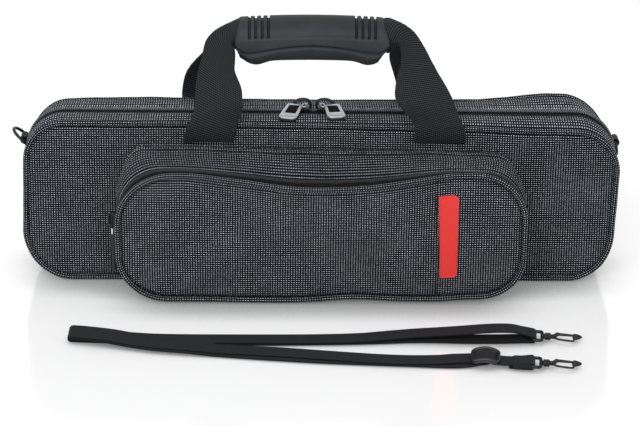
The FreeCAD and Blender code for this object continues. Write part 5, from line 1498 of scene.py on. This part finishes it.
# %% Main pulls
PULL_TILT = 4.6
PULL_SPLAY = {"left": -14.0, "right": 9.0}
PULL_LENGTH = {"left": 30.4, "right": 27.6}
PULL_HALF = 6.0
PULL_SHIFT = 4.5
PULL_RISE = 0.4
LOOP_SHIFT = 2.2


def pull_run(lean, half, low_y, high_y, radii):
    """Points round a plate that widens towards its free end, moved out from the loop."""
    run = rounded_run(-half, half, low_y, high_y, radii)
    run[:, 0] *= 1 + 0.14 * ease(-run[:, 1], 4, 26)
    run[:, 0] += lean * PULL_SHIFT
    return run


for word, at in SLIDER_AT.items():
    lean = 1 if word == "right" else -1
    end = -PULL_LENGTH[word]
    there = placed((at, 0, BAR_Z), tilt_x=PULL_TILT, turn_z=PULL_SPLAY[word])
    run = pull_run(lean, PULL_HALF, end, -2.9, (3.4, 3.4, 1.6, 1.6))
    hole = pull_run(lean, PULL_HALF - 2.2, end + 9.6, -5.0, (0.9, 0.9, 0.9, 0.9))
    frame_part = cast_frame("frame", run, hole, PULL_RISE - 0.6, PULL_RISE + 0.9, 0.35, there)
    angle = np.linspace(0, 2 * math.pi, 28, endpoint=False)
    loop = np.stack([-lean * LOOP_SHIFT + 1.5 * np.cos(angle), 3.3 * np.sin(angle) - 1.7, np.zeros(28)], -1)
    loop_part = tube("loop", there(loop), 0.65, 10, closed=True, up=(0, 0, 1))
    pull_piece = join("pull_%s_frame" % word, [frame_part, loop_part])
    dress(pull_piece, satin_zinc, "grey_metal", "pull_" + word, "pull_" + word)
    # The black plate under the pull reaches 1.2 mm past its end, where it shows as painted shade.
    under = pull_run(lean, PULL_HALF, end - 1.2, -4.0, (3.2, 3.2, 1.6, 1.6))
    ridge = pull_run(lean, PULL_HALF - 1.1, end + 1.6, end + 8.4, (2.2, 2.2, 0.9, 0.9))
    plates = [("window", inset(hole, -0.15), -0.5, 0.2, 0.15, black_window, "black_plastic"),
              ("shade_plate", under, -1.5, -0.65, 0.25, black_enamel, "black_metal"),
              ("field", ridge, 0.5, 1.1, 0.2, satin_zinc, "grey_metal")]
    for part, run, low_z, high_z, edge, finish, slot in plates:
        plate = cast_plate("pull_%s_%s" % (word, part), run, PULL_RISE + low_z, PULL_RISE + high_z,
                           edge, there)
        dress(plate, finish, slot, "pull_" + word)

# %% [markdown]
# ## D-rings and their tabs
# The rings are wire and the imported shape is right, so they only need enamel. Each hangs in a tab of
# webbing that is folded round its straight bar and sewn flat on the end of the case.

# %% D-rings
# Side view of a tab, from its low sewn end up round the ring's bar: distance out, and height.
TAB_FOLD = [(221.8, 77), (222.5, 79.5), (222.7, 84.5), (222.9, 89.8), (224.2, 91.7), (226.2, 92.8),
            (226.9, 94.6), (226.1, 96.4), (224.3, 97), (222.6, 96.2), (222, 94.2), (221.9, 90.5)]
TAB_SIDES = (13.2, 24.8)        # distance of the tab's two edges from the parting plane
for word, lean in (("left", -1), ("right", 1)):
    ring_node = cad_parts["ring_" + word]
    ring_node.data.materials.clear()
    ring_node.data.materials.append(black_enamel)
    path = curve_through(TAB_FOLD, 48) * [lean, 1]
    if lean > 0:
        path[:, 0] += 0.1
    grid = np.zeros((48, 12, 3))
    grid[..., 0] = path[:, None, 0]
    grid[..., 1] = np.linspace(*TAB_SIDES, 12)
    grid[..., 2] = path[:, None, 1]
    tangent = np.gradient(path, axis=0)
    tangent /= np.linalg.norm(tangent, axis=1)[:, None]
    out = np.stack([-tangent[:, 1], tangent[:, 0]], -1) * lean
    push = np.zeros_like(grid)
    push[..., 0] = out[:, None, 0]
    push[..., 2] = out[:, None, 1]
    tab = skin("ring_tab_webbing_" + word, grid + 0.55 * push, reverse=grid - 0.55 * push)
    dress(tab, strap_webbing, "webbing", "back_half", "ring_tab_" + word)
    cross = np.array([(223.4, 14.2, 82.0), (223.4, 19.0, 81.6), (223.4, 23.8, 82.0)]) * [lean, 1, 1]
    stitches("ring_tab_stitches_" + word, curve_through(cross, 20), "back_half", 2.0, 0.7, up=(1, 0, 0))

# %% [markdown]
# The pocket's slider sits on the left-hand end of its zipper, with its bridge facing outwards. A
# dark link joins it to a bright ferrule, which holds a long, flat rubber pull.

# %% Pocket slider and pull
POCKET_SLIDER = (-150.4, -71.3, 63.8)
there = placed(POCKET_SLIDER, turn_y=-90)
run = rounded_run(-5.0, 5.0, -3.0, 3.0, (1.0, 1.8, 1.8, 1.0))
plate = cast_plate("plate", run, 0.2, 2.2, 0.4, there)
bridge = [(-4.2, 0, 1.6), (-4.2, 0, 3.9), (-2.6, 0, 5.2), (0, 0, 5.5), (2.6, 0, 5.2), (4.2, 0, 3.9),
          (4.2, 0, 1.6)]
arch = tube("arch", there(curve_through(bridge, 30)), 0.9, 10, flat=1.7)
casting = join("pocket_slider_casting", [plate, arch])
dress(casting, black_enamel, "black_metal", "pocket_slider", "pocket_slider")

PULL_PIVOT = (-153.35, -71.3, 66.6)
PULL_HANG = -1.0
there = placed(PULL_PIVOT, turn_y=-90 + PULL_HANG)
angle = np.linspace(0, 2 * math.pi, 28, endpoint=False)
link = np.stack([-4.6 + 5.8 * np.sin(angle), 1.9 * np.cos(angle), np.zeros(28)], -1)
outward = there([0, 0, 1]) - there([0, 0, 0])
link_piece = tube("pocket_pull_link", there(link), 0.6, 8, closed=True, up=outward)
dress(link_piece, black_enamel, "black_metal", "pocket_pull", "pocket_pull")
run = rounded_run(-14.6, -9.9, -1.6, 1.6, (0.5, 0.5, 0.5, 0.5))
ferrule = cast_plate("pocket_pull_ferrule", run, -0.8, 0.8, 0.25, there)
dress(ferrule, satin_zinc, "grey_metal", "pocket_pull")
run = rounded_run(-44.0, -14.0, -1.7, 1.7, (1.6, 0.7, 0.7, 1.6))
run[:, 1] *= 1 + 0.3 * ease(-run[:, 0], 12, 38)
tongue = cast_plate("pocket_pull_tongue", run, -1.15, 1.15, 0.35, there)
dress(tongue, grip_rubber, "black_plastic", "pocket_pull")
# %% [markdown]
# ## The shoulder strap
# The strap is one length of 15 mm webbing. It is sewn to the second hook, passes through the slide,
# runs to the left, folds back, goes round the first hook's eye, returns along the same way, and
# ends sewn round the slide's middle bar. Lying in front of the case it makes two doubled lanes that
# share a fold at the left. The stations give the middle line, and the strip is swept along them.
# Where the second lane lies on the first it is rolled forward, so its front edge drops to the floor.

# %% Strap webbing
STRAP_WIDTH = 15.0
STRAP_THICK = 1.2
HOOKS = {"a": ((149.7, -141.9, 2.9), -6.0), "b": ((144.5, -187.6, 2.9), -6.0)}
SLIDE_AT = (114.0, -181.1)
LANE_A_LOW = [(-176, -142.6, 0.62), (-150, -144.6, 0.62), (-110, -147.2, 0.62), (-60, -147.8, 0.62),
              (-23, -147.2, 0.62), (20, -145.4, 0.62), (41, -144, 0.62), (63, -142.2, 0.62),
              (84, -142.2, 0.62), (105, -143.2, 0.62), (127, -142.9, 0.62), (143, -142.2, 0.75)]
LANE_A_TOP = [(146, -141.4, 6), (138, -141.9, 8.2), (127.3, -142.1, 8.8), (116.5, -142.3, 8.4),
              (105.8, -142.4, 7.6), (95.8, -142, 6.6), (82, -141.6, 5.4), (66.5, -141.3, 4.2),
              (50, -142.2, 3.1), (30, -144.6, 2.2), (0, -146.4, 1.84), (-60, -147.4, 1.84),
              (-110, -147, 1.84), (-150, -144.4, 1.84), (-175, -142.6, 1.84)]
LANE_B_LOW = [(-175, -143.6, 3.06), (-160, -147.4, 3.06), (-150, -150.2, 2.9), (-140, -153.6, 2.5),
              (-129, -157.2, 2.1), (-118, -160.2, 1.9), (-107, -162.2, 1.8), (-97, -163.8, 1.7),
              (-86, -165.4, 1.2), (-76, -166.8, 0.7), (-65, -168.5, 0.62), (-44, -171.8, 0.62),
              (-23, -174.8, 0.62), (-2, -177.5, 0.62), (19, -179.5, 0.62), (40, -181.2, 0.62),
              (61, -182.8, 0.62), (82, -184.6, 0.62), (92, -185, 0.7), (102, -184, 1)]
LANE_B_TOP = [(135, -186, 3.2), (129, -184.6, 2.5), (125, -183.6, 2.3), (122.2, -182.9, 2.5),
              (118.8, -182.2, 4.4), (114, -181.5, 6), (109.2, -180.9, 4.7), (105.2, -180.5, 2.9),
              (101, -180.4, 2.5), (92, -180.7, 2.3), (82, -181.8, 1.95), (61, -182.2, 1.84),
              (40, -180.6, 1.84), (19, -177.6, 1.84), (-2, -174.2, 1.84), (-23, -170.8, 1.84),
              (-33, -169.3, 1.84), (-65, -165.8, 1.84), (-76, -164.6, 1.92), (-86, -163.4, 2.4),
              (-97, -162, 2.9), (-107, -160.6, 3), (-118, -158.8, 3.1), (-129, -156.2, 3.3),
              (-140, -152.8, 3.7), (-150, -149.4, 4.1), (-160, -146.8, 4.28), (-175, -143.4, 4.28)]
# Roll of the webbing about its own line: height gained from the front edge to the back edge, by x.
ROLL_A = ([-182, -150, -120, 150], [1.4, 1.0, 0.0, 0.0])
ROLL_B = ([-182, -150, -118, -97, -86, -74, 150], [2.4, 2.4, 2.4, 2.2, 1.4, 0.0, 0.0])


def turn_round(centre, radius, start, stop, heading, count=7):
    """Stations of a turn in an upright plane, angles counted from the heading upwards."""
    a = np.radians(np.linspace(start, stop, count))
    h = math.radians(heading)
    along = radius * np.cos(a)
    return [(centre[0] + s * math.cos(h), centre[1] + s * math.sin(h), centre[2] + radius * math.sin(b))
            for s, b in zip(along, a)]


def local_to(letter):
    """Places points that are given from a hook's middle, with X towards its nose."""
    place, heading = HOOKS[letter]
    return placed(place, turn_z=heading)


BAR = (1.2, 0, 0)               # the middle of a hook's strap bar
stations = [(131.0, -185.6, 1.0), (137, -186.8, 0.75)]
stations += turn_round(local_to("b")(BAR), 2.1, -80, 80, -6.0)
stations += LANE_B_TOP
stations += turn_round((-178.6, -142.7, 2.45), 1.83, 100, 260, 0.0, 9)[1:-1]
stations += LANE_A_LOW
stations += turn_round(local_to("a")(BAR), 2.1, -80, 80, -6.0)
stations += LANE_A_TOP
stations += turn_round((-177.6, -142.8, 2.45), 0.62, -100, -260, 0.0, 7)[1:-1]
stations += LANE_B_LOW
stations += [(108.5, -182.6, 1.7), (113.4, -181.6, 1.8), (116.4, -181.0, 3.1), (114.4, -181.1, 4.75),
             (111.4, -181.4, 4.0)]
stations = np.array(stations, float)


def on_line(a, b, start, stop, t):
    """The straight line that is at a when t is start and at b when t is stop."""
    return (stop - t) / (stop - start) * a + (t - start) / (stop - start) * b


def strap_line(points, step=2.0):
    """A smooth line with samples about evenly spaced, closer where the stations are close."""
    p = np.vstack([2 * points[0] - points[1], points, 2 * points[-1] - points[-2]])
    line = []
    for a, b, c, d in zip(p, p[1:], p[2:], p[3:]):
        # Knots spaced by the root of the chord keep the line from looping beside short stations.
        roots = [max(np.linalg.norm(chord), 1e-3) ** 0.5 for chord in (b - a, c - b, d - c)]
        t0, t1, t2, t3 = np.cumsum([0.0] + roots)
        count = max(2, min(60, int(np.linalg.norm(c - b) / step) + 1))
        t = np.linspace(t1, t2, count, endpoint=False)[:, None]
        bc = on_line(b, c, t1, t2, t)
        abc = on_line(on_line(a, b, t0, t1, t), bc, t0, t2, t)
        bcd = on_line(bc, on_line(c, d, t2, t3, t), t1, t3, t)
        line.append(on_line(abc, bcd, t1, t2, t))
    return np.vstack(line + [points[-1:]])


line = strap_line(stations)
tangent = np.gradient(line, axis=0)
flat_run = tangent[:, :2] / np.maximum(np.linalg.norm(tangent, axis=1)[:, None], 1e-9)
steady = np.abs(flat_run[:, 0]) > 0.85
facing = np.stack([-flat_run[:, 1], flat_run[:, 0]], -1) * np.sign(flat_run[:, :1])
index = np.arange(len(line))
across = np.column_stack([read_at(facing[steady], index[steady], index), np.zeros(len(line))])
across /= np.linalg.norm(across, axis=1)[:, None]
normal = np.cross(tangent, across)
normal /= np.linalg.norm(normal, axis=1)[:, None]
share = np.linspace(-1, 1, 11)
half_thick = (STRAP_THICK / 2) * (1 - 0.3 * ease(np.abs(share), 0.85, 1.0))
middle = line[:, None] + across[:, None] * (share * STRAP_WIDTH / 2)[None, :, None]
fold_at = int(np.argmin(line[:, 0]))
on_b = np.where((index < fold_at) | (line[:, 1] < -160), 1.0, 0.0)
turned = np.flatnonzero(line[:, 0] < -170)
later = turned[turned > turned[0] + (turned[-1] - turned[0]) / 2]
on_b[later[np.argmin(line[later, 0])]:] = 1.0
roll = on_b * np.interp(line[:, 0], *ROLL_B) + (1 - on_b) * np.interp(line[:, 0], *ROLL_A)
middle[..., 2] += roll[:, None] * (share + 1)[None] / 2
arc = arc_along(line)
uv = np.stack(np.meshgrid(arc, (share + 1) * STRAP_WIDTH / 2, indexing="ij"), -1)
sides = []
for hand in (1, -1):
    sheet = middle + hand * normal[:, None] * half_thick[None, :, None]
    sheet[..., 2] = np.maximum(sheet[..., 2], 0.03)
    sides.append(sheet)
strap = skin("strap_webbing_run", sides[0], reverse=sides[1], uv=uv)
dress(strap, strap_webbing, "webbing", "strap", "strap_webbing")
print("strap length", round(float(arc[-1])), "mm")

# %% [markdown]
# Where the strap is sewn to the second hook a short sleeve covers the stitching. Its section is a
# flattened ring, and two cross rows of stitches hold it.

# %% Sewn sleeve
there = local_to("b")
u_lines = np.array([-11.6, -11.3, -10.6, -8.0, -5.0, -2.0, 0.6, 2.2, 3.0])
shrink = np.array([0.72, 0.92, 1.0, 1.0, 1.02, 1.0, 1.0, 0.92, 0.72])
angle = np.linspace(0, 2 * math.pi, 40, endpoint=False)
rings = []
for u, s in zip(u_lines, shrink):
    c, d = np.cos(angle), np.sin(angle)
    v = 8.2 * s**0.3 * np.sign(c) * np.abs(c) ** 0.35
    w = 2.3 * s * np.sign(d) * np.abs(d) ** 0.45 - 0.4 + 0.5 * ease(u, -4, 1)
    rings.append(np.stack([np.full(40, u), v, w], -1))
sleeve = skin("strap_sewn_sleeve", there(np.stack(rings)), wrap_v=True, caps=True)
dress(sleeve, strap_webbing, "webbing", "strap", "strap_end")
for name, u in (("sleeve_stitches_a", -9.6), ("sleeve_stitches_b", -3.0)):
    row_path = there(np.stack([np.full(12, u), np.linspace(-6.6, 6.6, 12), np.full(12, 2.0)], -1))
    stitches(name, row_path, "strap", 1.6, 0.6, up=(0, 0, 1))

# %% [markdown]
# Each hook is a swivel snap hook. A rectangular eye holds the webbing. Its pin turns in a ribbed
# barrel, and the barrel's neck opens into the hook: a thin wire loop on one side, a sprung gate on
# the other, and a pointed nose where the two meet.

# %% Swivel hooks
def spindle(name, profile, there_at, squash=(1, 1, 1), shift=0.0, slope=0.0):
    """A turned part along local X from (distance, radius) pairs, squashed and moved or sloped in Y."""
    profile = np.asarray(profile, float)
    angle_at = np.linspace(0, 2 * math.pi, 20, endpoint=False)
    across = profile[:, 1:] * np.cos(angle_at)[None]
    grid = np.stack([np.broadcast_to(profile[:, :1], across.shape), across,
                     profile[:, 1:] * np.sin(angle_at)[None]], -1) * squash
    grid[..., 1] += shift + slope * grid[..., 0]
    return skin(name, there_at(grid), wrap_v=True, caps=True, sharp=40)


for letter in HOOKS:
    there = local_to(letter)
    eye = rounded_run(1.2, 7.8, -7.7, 7.7, (1.6, 2.0, 2.0, 1.6), 80)
    eye_path = there(np.column_stack([eye, np.zeros(80)]))
    eye_ring = tube("ring", eye_path, 1.2, 12, closed=True, up=(0, 0, 1))
    pin = [(7.2, 0.9), (7.6, 2.0), (8.6, 2.3), (9.2, 2.0), (9.4, 1.45), (14.6, 1.45), (14.9, 1.1)]
    pin = spindle("pin", pin, there)
    eye_piece = join("hook_%s_eye" % letter, [eye_ring, pin])
    dress(eye_piece, black_enamel, "black_metal", "strap", "hook_eye_" + letter)

    ribs = [(9.5, 2.0)]
    for k in range(4):
        start = 9.6 + k * 1.05
        ribs += [(start, 2.3), (start + 0.2, 2.75), (start + 0.7, 2.75), (start + 0.9, 2.3)]
    ribs += [(13.9, 2.1), (14.4, 1.6), (15.4, 1.5), (16.0, 1.8)]
    barrel = spindle("barrel", ribs, there)
    neck = [(15.0, 0.0, 0), (16.2, 0.3, 0), (17.2, 1.7, 0), (17.9, 3.2, 0), (18.6, 4.3, 0)]
    neck = tube("neck", there(curve_through(neck, 16)), np.linspace(1.8, 1.35, 16), 12, up=(0, 0, 1))
    wire = [(15.2, -0.3, 0), (16.8, -2.2, 0), (20, -4.4, 0), (25.2, -5.8, 0), (28.6, -6.3, 0),
            (30.2, -5.8, 0), (30.7, -4, 0), (30.7, -1.6, 0), (30.8, 0.8, 0)]
    wire = tube("wire", there(curve_through(wire, 48)), 0.75, 10, up=(0, 0, 1))
    nose = [(29.4, 1.0), (29.8, 2.0), (30.8, 2.45), (32.4, 2.3), (34.2, 1.8), (35.7, 1.0), (36.3, 0.4)]
    nose = spindle("nose", nose, there, squash=(1, 1.15, 0.9), shift=1.2)
    body_piece = join("hook_%s_casting" % letter, [barrel, neck, wire, nose])
    dress(body_piece, black_enamel, "black_metal", "hook_" + letter, "hook_body_" + letter)

    gate = [(17.6, 0.8), (18.0, 1.3), (19.0, 1.35), (20.1, 1.1), (26.4, 0.95), (28.9, 0.9), (29.8, 0.7)]
    gate = spindle("hook_%s_gate" % letter, gate, there, shift=6.932, slope=-0.12)
    dress(gate, black_enamel, "black_metal", "gate_" + letter, "hook_gate_" + letter)

# %% [markdown]
# The slide that sets the strap's length is an arched acetal frame with three bars. The webbing
# rises over the middle bar and dips under the two end bars.

# %% Strap slide
there = placed((*SLIDE_AT, 0.0), turn_z=-6.0)
SLIDE_HALF = 9.1
ring = rounded_run(-SLIDE_HALF, SLIDE_HALF, -9.8, 9.8, (3.4, 3.4, 3.4, 3.4), 96)
arch_z = 4.4 + 2.0 * np.cos(ring[:, 0] / SLIDE_HALF * math.pi / 2) ** 1.2
rim = tube("rim", there(np.column_stack([ring, arch_z])), 1.3, 12, closed=True, up=(0, 0, 1), flat=0.95)
skirt = there(np.column_stack([ring * [0.98, 0.99], arch_z - 1.6 * (np.abs(ring[:, 1]) > 8.4)]))
skirt = tube("skirt", skirt, 1.0, 10, closed=True, up=(0, 0, 1), flat=1.1)
bar = curve_through([(0, -9.6, 5.2), (0, -8, 3.7), (0, 0, 3.4), (0, 8, 3.7), (0, 9.6, 5.2)], 20)
bar = tube("bar", there(bar), 1.1, 12, up=(0, 0, 1), flat=0.8)
slide = join("strap_slide", [rim, skirt, bar])
dress(slide, black_acetal, "black_plastic", "triglide", "triglide")
